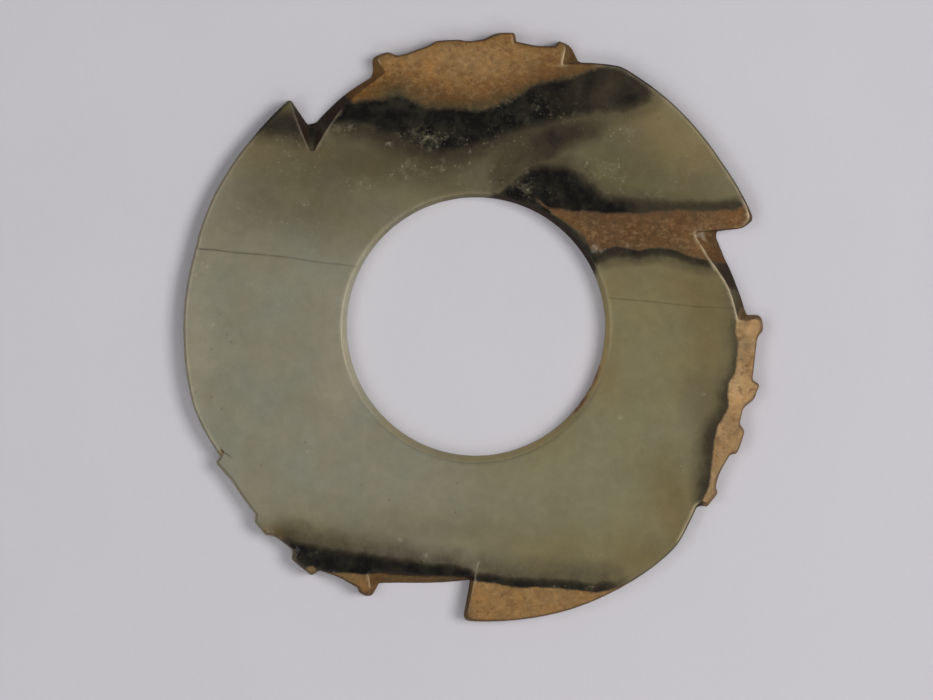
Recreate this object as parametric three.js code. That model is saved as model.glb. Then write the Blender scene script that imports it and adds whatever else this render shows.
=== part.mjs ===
import * as THREE from "three";

// Notched jade disc of the bi family, lying flat on its underside.
//
// The disc was sawn from one slab, drilled through the middle, and its rim was
// cut into three lobes that all turn the same way round. Going anticlockwise
// (seen from above) every lobe has a pointed hook, a smooth blade, a crest of
// small teeth and a notch that is cut back to the next hook. The walls of the
// notches lean outwards as they go down, so the upper face is a little smaller
// than the underside there.
//
// Frame: +Z up, +X and +Y in the plane of the disc, origin at the middle of
// the box under the disc. Millimetres and degrees.

// ---- driving dimensions ------------------------------------------------

const THICKNESS = 6.0;
const CENTRE = { x: 0.69, y: 0.15 }; // middle of the lobed rim
const BORE_UPPER = { x: 0.69, y: -0.23, radius: 33.95 }; // mouth of the drilled hole in the upper face
const BORE_LOWER = { x: 0.69, y: 0.18, radius: 32.75 }; // the drill narrowed as it sank, and drifted
const BORE_SIDES = 112;
const EDGE_SOFTENING = 0.42; // how far the worn edge turns over onto each face
const EDGE_HEIGHT = 0.5; // how far it turns down the wall
const STEP = 3.0; // longest straight facet along the rim
const CORNER_FACETS = 3; // facets in each rounded corner
const BLADE_BEVEL = 0.6; // upper face edge to the outermost line of a blade
const CREST_BEVEL = 0.55; // the same on a crest

// A small tooth stands between two feet: from and to are their angles, flank is
// the width of its two sides and crown the radius at the two ends of its top.
// For the four corners in turn, cut is how far the upper face is cut back along
// the rim at them, top how far it is cut back towards the middle, and round the
// reach of the rounding.
const four = (value) => (Array.isArray(value) ? value : [value, value, value, value]);
const tooth = ({ from, to, feet, crown, flank, cut = 0.3, top = CREST_BEVEL, round = [0.4, 0.9, 0.9, 0.4], arch = 0, after = 0 }) => {
  const deg = (width, radius) => THREE.MathUtils.radToDeg(width / radius);
  const angles = [from, from + deg(flank[0], crown[0]), to - deg(flank[1], crown[1]), to];
  const radii = [feet[0], crown[0], crown[1], feet[1]];
  return angles.map((angle, i) => ({
    angle,
    radius: radii[i],
    bevel: four(top)[i],
    slip: (i < 2 ? 1 : -1) * four(cut)[i],
    round: round[i],
    sag: [0, arch, 0, after][i],
  }));
};

// A stretch of blade or rim ends at an angle and a radius; sag bends the next
// stretch outwards (or inwards when negative).
const rim = (bevel) => ([angle, radius, sag = 0, round = 0, slip = 0]) => ({ angle, radius, sag, round, bevel, slip });

const LOBES = [
  {
    hook: [{ angle: 129.2, radius: 74.75, bevel: 0.8, slip: 0.2, round: 1.1 }],
    blade: [[139, 74.45], [153, 74.6], [162.2, 74.35, 0, 0.6], [163.2, 74.1, 0, 0.6], [176, 74.4], [196, 74.75, 0.1], [205.2, 73.3, 0, 1.2]],
    crest: [
      tooth({ from: 206.95, to: 212.3, feet: [73.05, 73.55], crown: [74.75, 74.4], flank: [0.95, 4.2], cut: 0.2, top: 0.8, round: [0.3, 0.5, 1, 1] }),
      tooth({ from: 220.5, to: 226.1, feet: [73.7, 74.05], crown: [75.2, 75.45], flank: [1.25, 1.9], top: 0.6, round: [0.5, 0.6, 0.4, 0.9], arch: -0.05, after: -0.15 }),
      tooth({ from: 230.7, to: 237.35, feet: [73.6, 73.7], crown: [75.6, 75.95], flank: [1.25, 0.9], cut: 0.4, top: 0.6, round: [0.8, 0.4, 0.8, 0.5], after: -0.1 }),
      tooth({ from: 245.6, to: 249.3, feet: [72.95, 69.8], crown: [73.95, 73.75], flank: [0.9, 0.45], cut: [0.3, 0.3, 0.5, 3.4], top: [0.6, 0.7, 1.5, 1.6], round: [0.6, 0.5, 1.5, 0.5], arch: 0.2, after: 0 }),
    ],
    notch: [
      { angle: 250.4, radius: 69.25, bevel: 3.0, slip: -1.2, round: 0.9, sag: -0.2 },
      { angle: 258.2, radius: 66.65, bevel: 2.3, slip: 0, round: 2, sag: -0.1 },
      { angle: 268.6, radius: 64.45, bevel: 1.0, slip: 1.1, round: 0.5 },
    ],
  },
  {
    hook: [{ angle: 267.3, radius: 74.95, bevel: 0.9, slip: 0.9, round: 2.3 }],
    blade: [[273.5, 75.2], [288.5, 75.95, 0.05], [305.5, 76.0, 0.1], [312.8, 75.6, 0, 1.6], [317.8, 73.65, 0, 1], [320.75, 72.55, 0, 0.6]],
    crest: [
      tooth({ from: 321.6, to: 326.1, feet: [73.4, 73.55], crown: [74.6, 74.75], flank: [0.55, 0.8], cut: [0.9, 0.9, 0.3, 0.3], top: 0.9, round: [0.3, 0.6, 0.8, 0.6], after: -0.35 }),
      tooth({ from: 333.2, to: 339.75, feet: [72.45, 71.55], crown: [73.95, 73.45], flank: [1.1, 1.2], cut: 0.4, top: 0.6, round: [0.6, 0.9, 0.9, 0.7], after: -0.1 }),
      tooth({ from: 343.1, to: 349.15, feet: [71.2, 71.7], crown: [73.35, 73.85], flank: [3.1, 1.0], cut: 0.4, top: 0.6, round: [0.9, 1, 0.8, 0.5], arch: -0.2, after: -0.1 }),
      tooth({ from: 357.9, to: 362.55, feet: [71.75, 69.1], crown: [73.1, 72.5], flank: [1.5, 0.25], cut: [0.4, 0.4, 0.7, 1.55], top: [0.6, 0.8, 0.8, 0.3], round: [0.9, 0.7, 1.3, 0.4], arch: 0.2 }),
    ],
    notch: [
      { angle: 363.1, radius: 68.65, bevel: 2.1, slip: -1.9, round: 0.5 },
      { angle: 369, radius: 67.1, bevel: 2.2, slip: 0, round: 2 },
      { angle: 375.2, radius: 65.6, bevel: 3.9, slip: 1.0, round: 2 },
      { angle: 380.2, radius: 65.1, bevel: 4.8, slip: 2.1, round: 0.7 },
      { angle: 381.5, radius: 65.8, bevel: 5.2, slip: 2.0, round: 0.5 },
    ],
  },
  {
    hook: [
      { angle: 380.15, radius: 72.2, bevel: 0.3, slip: 0.1, round: 1.3 },
      { angle: 380.95, radius: 75.75, bevel: 0.9, slip: 0.6, round: 1.5 },
    ],
    blade: [[384, 75.75], [394, 75.25], [410, 75.7], [420.8, 75.8, 0, 1.6], [424.8, 74.0, 0, 2], [428.2, 72.35, 0, 0.5]],
    crest: [
      tooth({ from: 429.0, to: 434.35, feet: [72.35, 74.1], crown: [75.25, 75.75], flank: [3.0, 0.7], cut: [3.4, 1.1, 0.3, 0.3], top: [2.3, 0.6, 0.6, 0.6], round: [0.5, 1.1, 0.6, 0.6] }),
      tooth({ from: 441.9, to: 448.3, feet: [73.2, 73.2], crown: [75.45, 74.85], flank: [0.75, 2.9], cut: [0.6, 0.6, 0.3, 0.3], top: 0.6, round: [0.3, 0.7, 1.2, 1], after: -0.1 }),
      tooth({ from: 451.8, to: 459.4, feet: [72.65, 72.5], crown: [73.15, 73.4], flank: [1.8, 1.7], cut: 0.2, top: 0.5, round: [0.8, 0.8, 0.8, 0.6] }),
      tooth({ from: 466.2, to: 471.95, feet: [71.7, 69.9], crown: [73.35, 73.2], flank: [1.9, 0.9], cut: [0.3, 0.3, 1.0, 2.8], top: [0.6, 0.6, 0.7, 1.5], round: [0.8, 0.7, 1.3, 0.8], arch: 0.15 }),
    ],
    notch: [
      { angle: 472.9, radius: 68.75, bevel: 1.1, slip: -0.8, round: 0.8 },
      { angle: 479.5, radius: 67.75, bevel: 2.3, slip: 1.1, round: 2 },
      { angle: 488.05, radius: 65.85, bevel: 5.3, slip: 5.35, round: 0.5 },
      { angle: 489.8, radius: 66.8, bevel: 5.6, slip: 4.1, round: 0.5 },
    ],
  },
];

const RIM_BETWEEN_TEETH = {
  // radius of the sunk rim half way between two teeth, by lobe and gap
  0: { 2: [[241.6, 72.75]] },
  1: { 0: [[330.4, 72.3]], 2: [[355.4, 71.5]] },
  2: { 0: [[438, 73.05]], 2: [[463.8, 71.75]] },
};

// ---- outline -----------------------------------------------------------

const corners = LOBES.flatMap(({ hook, blade, crest, notch }, lobe) => [
  ...hook,
  ...blade.map(rim(BLADE_BEVEL)),
  ...crest.flatMap((corner, gap) => [...corner, ...(RIM_BETWEEN_TEETH[lobe][gap] ?? []).map(([a, r]) => rim(CREST_BEVEL)([a, r, 0, 1.5]))]),
  ...notch,
]);

const place = (angle, radius) => {
  const a = THREE.MathUtils.degToRad(angle);
  return new THREE.Vector2(CENTRE.x + radius * Math.cos(a), CENTRE.y + radius * Math.sin(a));
};

// Where a corner lies at a share of the way from the outermost line (0) to the
// upper face edge (1).
const at = (corner, share) => ({
  angle: corner.angle + THREE.MathUtils.radToDeg(((corner.slip ?? 0) * share) / corner.radius),
  radius: corner.radius - corner.bevel * share,
});

const stretch = (from, to, sag, share) => {
  const a = at(from, share);
  const b = at(to, share);
  let turn = b.angle - a.angle;
  while (turn < -180) turn += 360;
  const length = Math.hypot(THREE.MathUtils.degToRad(turn) * a.radius, b.radius - a.radius);
  const steps = Math.max(6, Math.ceil(length));
  return Array.from({ length: steps + 1 }, (_, i) => {
    const t = i / steps;
    return place(a.angle + turn * t, a.radius + (b.radius - a.radius) * t + sag * Math.sin(Math.PI * t));
  });
};

const lengthOf = (line) => line.slice(1).reduce((sum, p, i) => sum + p.distanceTo(line[i]), 0);

const pointAt = (line, distance) => {
  let left = distance;
  for (let i = 1; i < line.length; i++) {
    const step = line[i].distanceTo(line[i - 1]);
    if (left <= step || i === line.length - 1) {
      return line[i - 1].clone().lerp(line[i], step > 0 ? Math.min(1, left / step) : 0);
    }
    left -= step;
  }
  return line[line.length - 1].clone();
};

const inward = (a, b) => new THREE.Vector2(-(b.y - a.y), b.x - a.x).normalize();

// Moves every stretch inwards by the same distance, meeting at mitred corners.
const shrink = (lines, by) => {
  if (by === 0) return lines;
  const first = (line) => inward(line[0], line[1]);
  const last = (line) => inward(line[line.length - 2], line[line.length - 1]);
  return lines.map((line, k) => {
    const before = lines[(k + lines.length - 1) % lines.length];
    const after = lines[(k + 1) % lines.length];
    const mitre = (n, m) => {
      const mid = n.clone().add(m).normalize();
      return mid.multiplyScalar(by / Math.max(0.62, mid.dot(n)));
    };
    return line.map((p, i) => {
      if (i === 0) return p.clone().add(mitre(last(before), first(line)));
      if (i === line.length - 1) return p.clone().add(mitre(last(line), first(after)));
      return p.clone().addScaledVector(inward(line[i - 1], line[i + 1]), by);
    });
  });
};

const straights = (lines) => lines.map((line) => Math.max(1, Math.ceil(lengthOf(line) / STEP)));

// One closed line round the disc: each stretch is trimmed at its corners, and a
// quadratic curve rounds the corner over the same reach.
const outline = (share, by, counts) => {
  const raw = corners.map((corner, k) => stretch(corner, corners[(k + 1) % corners.length], corner.sag ?? 0, share));
  const lines = shrink(raw, by);
  const trims = lines.map((line, k) => {
    const length = lengthOf(line);
    const cap = 0.42 * length;
    return {
      start: Math.min(corners[k].round ?? 0, cap),
      end: Math.min(corners[(k + 1) % corners.length].round ?? 0, cap),
      length,
    };
  });
  const points = [];
  lines.forEach((line, k) => {
    const { start, end, length } = trims[k];
    for (let i = 0; i <= counts[k]; i++) {
      if (i === 0 && start === 0 && k > 0) continue; // the last stretch ended here
      points.push(pointAt(line, start + ((length - start - end) * i) / counts[k]));
    }
    if (end > 0) {
      const next = (k + 1) % lines.length;
      const curve = new THREE.QuadraticBezierCurve(points[points.length - 1], line[line.length - 1], pointAt(lines[next], trims[next].start));
      for (let i = 1; i < CORNER_FACETS; i++) points.push(curve.getPoint(i / CORNER_FACETS));
    }
  });
  return points;
};

const counts = straights(corners.map((corner, k) => stretch(corner, corners[(k + 1) % corners.length], corner.sag ?? 0, 0)));

const circle = (upperShare, wider) =>
  Array.from({ length: BORE_SIDES }, (_, i) => {
    const a = (2 * Math.PI * i) / BORE_SIDES;
    const mix = (key) => THREE.MathUtils.lerp(BORE_LOWER[key], BORE_UPPER[key], upperShare);
    return new THREE.Vector2(mix("x") + (mix("radius") + wider) * Math.cos(a), mix("y") + (mix("radius") + wider) * Math.sin(a));
  });

// ---- solid -------------------------------------------------------------

// Levels up the wall: height, share of the way to the upper face edge, and how
// far the worn edge has turned in.
const wall = (z) => THREE.MathUtils.clamp((z - EDGE_HEIGHT) / (THICKNESS - 2 * EDGE_HEIGHT), 0, 1);
const LEVELS = [
  [0, EDGE_SOFTENING],
  [0.28 * EDGE_HEIGHT, 0.4 * EDGE_SOFTENING],
  [EDGE_HEIGHT, 0],
  [THICKNESS - EDGE_HEIGHT, 0],
  [THICKNESS - 0.28 * EDGE_HEIGHT, 0.4 * EDGE_SOFTENING],
  [THICKNESS, EDGE_SOFTENING],
].map(([z, turned]) => ({ z, share: wall(z), turned }));

const outer = LEVELS.map(({ share, turned }) => outline(share, turned, counts));
const inner = LEVELS.map(({ z, turned }) => circle(z / THICKNESS, turned));

const rings = outer[0].length;
const positions = [];
const addRing = (ring, z) => {
  const base = positions.length / 3;
  for (const p of ring) positions.push(p.x, p.y, z);
  return base;
};
const outerBase = outer.map((ring, i) => addRing(ring, LEVELS[i].z));
const innerBase = inner.map((ring, i) => addRing(ring, LEVELS[i].z));

const triangles = [];
const quad = (a, b, c, d) => triangles.push(a, b, c, a, c, d);
for (let level = 0; level + 1 < LEVELS.length; level++) {
  for (let i = 0; i < rings; i++) {
    const j = (i + 1) % rings;
    quad(outerBase[level] + i, outerBase[level] + j, outerBase[level + 1] + j, outerBase[level + 1] + i);
  }
  for (let i = 0; i < BORE_SIDES; i++) {
    const j = (i + 1) % BORE_SIDES;
    quad(innerBase[level] + j, innerBase[level] + i, innerBase[level + 1] + i, innerBase[level + 1] + j);
  }
}
const face = (level, up) => {
  const hole = [...inner[level]].reverse();
  const index = (i) => (i < rings ? outerBase[level] + i : innerBase[level] + (BORE_SIDES - 1 - (i - rings)));
  for (const [a, b, c] of THREE.ShapeUtils.triangulateShape(outer[level], [hole])) {
    if (up) triangles.push(index(a), index(b), index(c));
    else triangles.push(index(a), index(c), index(b));
  }
};
face(0, false);
face(LEVELS.length - 1, true);

const geometry = new THREE.BufferGeometry();
geometry.setAttribute("position", new THREE.Float32BufferAttribute(positions, 3));
geometry.setIndex(triangles);
geometry.computeVertexNormals();

const jade = new THREE.MeshStandardMaterial({ name: "jade", color: 0x7d7a66, roughness: 0.42, metalness: 0 });

const disc = new THREE.Mesh(geometry, jade);
disc.name = "jade_disc";

const part = new THREE.Group();
part.name = "notched_disc";
part.add(disc);

export default part;
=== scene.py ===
import math

import bpy
import numpy as np
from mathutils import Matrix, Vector
from mathutils.geometry import delaunay_2d_cdt


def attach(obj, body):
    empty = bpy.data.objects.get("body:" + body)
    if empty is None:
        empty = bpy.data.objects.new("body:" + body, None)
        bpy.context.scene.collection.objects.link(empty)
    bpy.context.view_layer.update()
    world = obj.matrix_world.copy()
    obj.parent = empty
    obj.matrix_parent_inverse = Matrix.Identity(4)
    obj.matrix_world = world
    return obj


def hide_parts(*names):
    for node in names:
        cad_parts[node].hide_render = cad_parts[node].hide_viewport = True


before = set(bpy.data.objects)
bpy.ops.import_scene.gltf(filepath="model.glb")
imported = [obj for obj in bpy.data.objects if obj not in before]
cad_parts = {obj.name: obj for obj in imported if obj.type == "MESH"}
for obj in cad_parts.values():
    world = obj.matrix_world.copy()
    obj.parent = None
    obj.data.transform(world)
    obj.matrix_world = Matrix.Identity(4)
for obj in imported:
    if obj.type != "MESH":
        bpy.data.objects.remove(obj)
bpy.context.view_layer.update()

# Sizes are millimetres in the frame of the CAD part until the mesh is made.
# +Z is up, the disc lies on z = 0, angles are degrees, anticlockwise from +X.

# ==== outline ==============================================================

THICKNESS = 6.0
CENTRE = (0.69, 0.15)
BORE_UPPER = (0.69, -0.23, 33.95)
BORE_LOWER = (0.69, 0.18, 32.75)
BORE_SIDES = 320
SOFTENING = 0.42  # how far the worn edge turns over onto each face
EDGE = 0.5  # how far it turns down the wall
RIM_STEP = 0.85
CORNER_FACETS = 5
TOP_STEP = 0.58
UNDER_STEP = 0.98


def spread(value):
    return value if isinstance(value, (list, tuple)) else [value] * 4


def tooth(start, end, feet, crown, flank, cut=0.3, top=0.55, turn=(0.4, 0.9, 0.9, 0.4), arch=0.0, after=0.0):
    """Four corners of a small tooth: foot, crown, crown, foot."""
    def wide(width, radius):
        return math.degrees(width / radius)
    angles = [start, start + wide(flank[0], crown[0]), end - wide(flank[1], crown[1]), end]
    radii = [feet[0], crown[0], crown[1], feet[1]]
    cuts, tops = spread(cut), spread(top)
    sags = [0, arch, 0, after]
    return [
        (angles[i], radii[i], tops[i], (1 if i < 2 else -1) * cuts[i], turn[i], sags[i])
        for i in range(4)
    ]


def blade(*rows):
    """Corners of a smooth blade, from (angle, radius, sag, turn)."""
    made = []
    for row in rows:
        angle, radius, sag, turn = (list(row) + [0, 0])[:4]
        made.append((angle, radius, 0.6, 0.0, turn, sag))
    return made


def sunk(angle, radius):
    return [(angle, radius, 0.55, 0.0, 1.5, 0.0)]


# A corner is (angle, radius, bevel, slip, turn, sag): its place on the outermost
# line, how far the upper face edge lies inside it and anticlockwise of it, the
# reach of its rounding, and the bulge of the stretch that follows.
CORNERS = [
    (129.2, 74.75, 0.8, 0.2, 1.1, 0.0),
    *blade((139, 74.45), (153, 74.6), (162.2, 74.35, 0, 0.6), (163.2, 74.1, 0, 0.6), (176, 74.4), (196, 74.75, 0.1), (205.2, 73.3, 0, 1.2)),
    *tooth(206.95, 212.3, (73.05, 73.55), (74.75, 74.4), (0.95, 4.2), 0.2, 0.8, (0.3, 0.5, 1, 1)),
    *tooth(220.5, 226.1, (73.7, 74.05), (75.2, 75.45), (1.25, 1.9), 0.3, 0.6, (0.5, 0.6, 0.4, 0.9), -0.05, -0.15),
    *tooth(230.7, 237.35, (73.6, 73.7), (75.6, 75.95), (1.25, 0.9), 0.4, 0.6, (0.8, 0.4, 0.8, 0.5), 0, -0.1),
    *sunk(241.6, 72.75),
    *tooth(245.6, 249.3, (72.95, 69.8), (73.95, 73.75), (0.9, 0.45), (0.3, 0.3, 0.5, 3.4), (0.6, 0.7, 1.5, 1.6), (0.6, 0.5, 1.5, 0.5), 0.2),
    (250.4, 69.25, 3.0, -1.2, 0.9, -0.2),
    (258.2, 66.65, 2.3, 0.0, 2.0, -0.1),
    (268.6, 64.45, 1.0, 1.1, 0.5, 0.0),
    (267.3, 74.95, 0.9, 0.9, 2.3, 0.0),
    *blade((273.5, 75.2), (288.5, 75.95, 0.05), (305.5, 76.0, 0.1), (312.8, 75.6, 0, 1.6), (317.8, 73.65, 0, 1), (320.75, 72.55, 0, 0.6)),
    *tooth(321.6, 326.1, (73.4, 73.55), (74.6, 74.75), (0.55, 0.8), (0.9, 0.9, 0.3, 0.3), 0.9, (0.3, 0.6, 0.8, 0.6), 0, -0.35),
    *sunk(330.4, 72.3),
    *tooth(333.2, 339.75, (72.45, 71.55), (73.95, 73.45), (1.1, 1.2), 0.4, 0.6, (0.6, 0.9, 0.9, 0.7), 0, -0.1),
    *tooth(343.1, 349.15, (71.2, 71.7), (73.35, 73.85), (3.1, 1.0), 0.4, 0.6, (0.9, 1, 0.8, 0.5), -0.2, -0.1),
    *sunk(355.4, 71.5),
    *tooth(357.9, 362.55, (71.75, 69.1), (73.1, 72.5), (1.5, 0.25), (0.4, 0.4, 0.7, 1.55), (0.6, 0.8, 0.8, 0.3), (0.9, 0.7, 1.3, 0.4), 0.2),
    (363.1, 68.65, 2.1, -1.9, 0.5, 0.0),
    (369, 67.1, 2.2, 0.0, 2.0, 0.0),
    (375.2, 65.6, 3.9, 1.0, 2.0, 0.0),
    (380.2, 65.1, 4.8, 2.1, 0.7, 0.0),
    (381.5, 65.8, 5.2, 2.0, 0.5, 0.0),
    (380.15, 72.2, 0.3, 0.1, 1.3, 0.0),
    (380.95, 75.75, 0.9, 0.6, 1.5, 0.0),
    *blade((384, 75.75), (394, 75.25), (410, 75.7), (420.8, 75.8, 0, 1.6), (424.8, 74.0, 0, 2), (428.2, 72.35, 0, 0.5)),
    *tooth(429.0, 434.35, (72.35, 74.1), (75.25, 75.75), (3.0, 0.7), (3.4, 1.1, 0.3, 0.3), (2.3, 0.6, 0.6, 0.6), (0.5, 1.1, 0.6, 0.6)),
    *sunk(438, 73.05),
    *tooth(441.9, 448.3, (73.2, 73.2), (75.45, 74.85), (0.75, 2.9), (0.6, 0.6, 0.3, 0.3), 0.6, (0.3, 0.7, 1.2, 1), 0, -0.1),
    *tooth(451.8, 459.4, (72.65, 72.5), (73.15, 73.4), (1.8, 1.7), 0.2, 0.5, (0.8, 0.8, 0.8, 0.6)),
    *sunk(463.8, 71.75),
    *tooth(466.2, 471.95, (71.7, 69.9), (73.35, 73.2), (1.9, 0.9), (0.3, 0.3, 1.0, 2.8), (0.6, 0.6, 0.7, 1.5), (0.8, 0.7, 1.3, 0.8), 0.15),
    (472.9, 68.75, 1.1, -0.8, 0.8, 0.0),
    (479.5, 67.75, 2.3, 1.1, 2.0, 0.0),
    (488.05, 65.85, 5.3, 5.35, 0.5, 0.0),
    (489.8, 66.8, 5.6, 4.1, 0.5, 0.0),
]


def polar(angle, radius):
    a = np.radians(angle)
    return np.stack([CENTRE[0] + radius * np.cos(a), CENTRE[1] + radius * np.sin(a)], -1)


def stretch(a, b, share):
    """Points of the stretch from corner a to corner b at a share of the way to the upper face edge."""
    ang_a, ang_b = (c[0] + math.degrees(c[3] * share / c[1]) for c in (a, b))
    rad_a, rad_b = (c[1] - c[2] * share for c in (a, b))
    turn = ang_b - ang_a
    while turn < -180:
        turn += 360
    length = math.hypot(math.radians(turn) * rad_a, rad_b - rad_a)
    t = np.linspace(0, 1, max(6, math.ceil(length)) + 1)
    return polar(ang_a + turn * t, rad_a + (rad_b - rad_a) * t + a[5] * np.sin(math.pi * t))


def run_of(line):
    return np.concatenate([[0.0], np.cumsum(np.hypot(*np.diff(line, axis=0).T))])


def points_at(line, distances):
    run = run_of(line)
    return np.stack([np.interp(distances, run, line[:, 0]), np.interp(distances, run, line[:, 1])], -1)


def inward(a, b):
    n = np.array([-(b[1] - a[1]), b[0] - a[0]])
    return n / np.linalg.norm(n)


def shrink(lines, by):
    """Moves every stretch inwards by the same distance, meeting at mitred corners."""
    if by == 0:
        return lines
    made = []
    for k, line in enumerate(lines):
        before, after = lines[k - 1], lines[(k + 1) % len(lines)]
        moved = line.copy()
        for i, p in enumerate(line):
            if i == 0:
                n, m = inward(before[-2], before[-1]), inward(line[0], line[1])
            elif i == len(line) - 1:
                n, m = inward(line[-2], line[-1]), inward(after[0], after[1])
            else:
                n = m = inward(line[i - 1], line[i + 1])
            mid = (n + m) / np.linalg.norm(n + m)
            moved[i] = p + mid * by / max(0.62, float(mid @ n))
        made.append(moved)
    return made


def stretches(share):
    return [stretch(c, CORNERS[(k + 1) % len(CORNERS)], share) for k, c in enumerate(CORNERS)]


COUNTS = [max(1, math.ceil(run_of(line)[-1] / RIM_STEP)) for line in stretches(0)]


def outline(share, by):
    """One closed ring: stretches trimmed at their corners, with a rounded curve in each corner."""
    lines = shrink(stretches(share), by)
    lengths = [run_of(line)[-1] for line in lines]
    starts = [min(CORNERS[k][4], 0.42 * lengths[k]) for k in range(len(lines))]
    ends = [min(CORNERS[(k + 1) % len(lines)][4], 0.42 * lengths[k]) for k in range(len(lines))]
    ring = []
    for k, line in enumerate(lines):
        first = 0 if (k == 0 or starts[k] > 0) else 1
        d = starts[k] + (lengths[k] - starts[k] - ends[k]) * np.arange(first, COUNTS[k] + 1) / COUNTS[k]
        ring.extend(points_at(line, d))
        if ends[k] > 0:
            nxt = (k + 1) % len(lines)
            a, b, c = ring[-1], line[-1], points_at(lines[nxt], np.array([starts[nxt]]))[0]
            for i in range(1, CORNER_FACETS):
                t = i / CORNER_FACETS
                ring.append(a * (1 - t) ** 2 + 2 * b * t * (1 - t) + c * t * t)
    return np.array(ring)


def bore(upper_share, wider):
    a = 2 * math.pi * np.arange(BORE_SIDES) / BORE_SIDES
    x, y, r = (lo + (hi - lo) * upper_share for lo, hi in zip(BORE_LOWER, BORE_UPPER))
    return np.stack([x + (r + wider) * np.cos(a), y + (r + wider) * np.sin(a)], -1)


# ==== marks ================================================================
# Where the stone changes. Every zone is worked out from a few named lines and
# soft shapes, and broken up by seeded noise.


def lattice(ix, iy, seed):
    with np.errstate(over="ignore"):
        h = ix.astype(np.uint32) * np.uint32(374761393) + iy.astype(np.uint32) * np.uint32(668265263) + np.uint32(seed * 69069 + 12345)
        h = (h ^ (h >> np.uint32(13))) * np.uint32(1274126177)
        h = h ^ (h >> np.uint32(16))
    return h.astype(np.float64) / 4294967295.0


def noise(x, y, size, seed):
    """Smooth gradient noise, about -1 to 1."""
    u, v = x / size + 0.37 * seed, y / size - 0.21 * seed
    iu, iv = np.floor(u).astype(np.int64), np.floor(v).astype(np.int64)
    fu, fv = u - iu, v - iv
    su, sv = fu * fu * fu * (fu * (fu * 6 - 15) + 10), fv * fv * fv * (fv * (fv * 6 - 15) + 10)

    def corner(dx, dy):
        a = lattice(iu + dx, iv + dy, seed) * 2 * math.pi
        return np.cos(a) * (fu - dx) + np.sin(a) * (fv - dy)

    low = corner(0, 0) * (1 - su) + corner(1, 0) * su
    high = corner(0, 1) * (1 - su) + corner(1, 1) * su
    return 1.5 * (low * (1 - sv) + high * sv)


def clouds(x, y, size, seed, octaves=3, fade=0.5):
    total, weight = 0.0, 0.0
    for i in range(octaves):
        total = total + noise(x, y, size / 2**i, seed + 17 * i) * fade**i
        weight += fade**i
    return total / weight


def ease(low, high, value):
    t = np.clip((value - low) / (high - low), 0, 1)
    return t * t * (3 - 2 * t)


def spot(x, y, cx, cy, rx, ry, turn=0.0):
    """1 in the middle of a soft ellipse, 0.3 at its edge, fading outside."""
    a = math.radians(turn)
    u, v = (x - cx) * math.cos(a) + (y - cy) * math.sin(a), -(x - cx) * math.sin(a) + (y - cy) * math.cos(a)
    return np.exp(-1.2 * ((u / rx) ** 2 + (v / ry) ** 2))


def away(x, y, line):
    """Distance to a polyline, and how far along it the nearest point is (0 to 1)."""
    line = np.asarray(line, float)
    run = run_of(line)
    best, where = np.full(x.shape, 1e9), np.zeros(x.shape)
    for (ax, ay), (bx, by), start, end in zip(line, line[1:], run, run[1:]):
        dx, dy = bx - ax, by - ay
        t = np.clip(((x - ax) * dx + (y - ay) * dy) / (dx * dx + dy * dy), 0, 1)
        d = np.hypot(x - ax - t * dx, y - ay - t * dy)
        closer = d < best
        best, where = np.where(closer, d, best), np.where(closer, (start + t * (end - start)) / run[-1], where)
    return best, where


def inside(x, y, shape):
    """Signed distance to a closed shape, positive inside."""
    shape = np.asarray(shape, float)
    closed = np.vstack([shape, shape[:1]])
    d, _ = away(x, y, closed)
    odd = np.zeros(x.shape, bool)
    for (ax, ay), (bx, by) in zip(closed, closed[1:]):
        if ay == by:
            continue
        odd ^= ((ay > y) != (by > y)) & (x < (bx - ax) * (y - ay) / (by - ay) + ax)
    return np.where(odd, d, -d)


def height_of(line, x):
    line = np.asarray(line, float)
    return np.interp(x, line[:, 0], line[:, 1])


# Lower edge of the weathered crust on the broad crest.
CREST_CRUST = [
    (-39.4, 62.8), (-33.9, 60.5), (-32.1, 58.4), (-30.6, 57.2), (-27.5, 57.4), (-22.4, 58.3), (-18.9, 58.6), (-15.3, 57.2),
    (-12.3, 55.9), (-9.2, 55.5), (-4.9, 55.8), (-0.8, 55), (3.2, 55.5), (6.3, 56.3), (9.8, 57.8), (12.4, 59.1),
    (14.4, 60.6), (16.4, 61.6), (19.5, 62.4), (22.5, 62.8), (25.6, 63.3), (28.1, 64.4), (30.2, 65.6), (33.7, 66.7),
    (37.3, 69.1), (57.6, 78),
]
BAND_CRUST_UPPER = [
    (11.9, 34.8), (14.9, 32.8), (19.2, 30.3), (24.1, 29.6), (29.6, 29), (37.3, 28.6), (46.9, 29.1), (51.7, 29.6),
    (58.9, 29.4), (66, 29.7), (69, 30.8), (75.4, 32.3),
]
BAND_CRUST_LOWER = [
    (11.9, 34.8), (27.9, 23.3), (29.6, 20.1), (31.7, 19.3), (33.6, 19.9), (36.4, 20.5), (39.2, 20.1), (41.9, 19.3),
    (44.4, 19.9), (47.2, 20.1), (50.2, 19.9), (52.7, 18.9), (54.3, 18.2), (57.4, 17.3), (59.8, 17), (62.7, 16.5),
    (75.4, 16.5),
]
SIDE_CRUST = [
    (67.2, 4.9), (67.1, 3.3), (66.8, 2.8), (66.5, -0.7), (67.2, -4.3), (67, -7.8), (66.6, -11.4), (65, -13.9),
    (64.6, -16.7), (64.7, -20), (63.6, -22.5), (62.2, -25), (61.5, -27.5), (60.9, -31.1), (60.6, -34.6), (60.2, -38.2),
    (59.3, -41.8), (58.4, -43.9), (57.8, -47),
]
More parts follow.
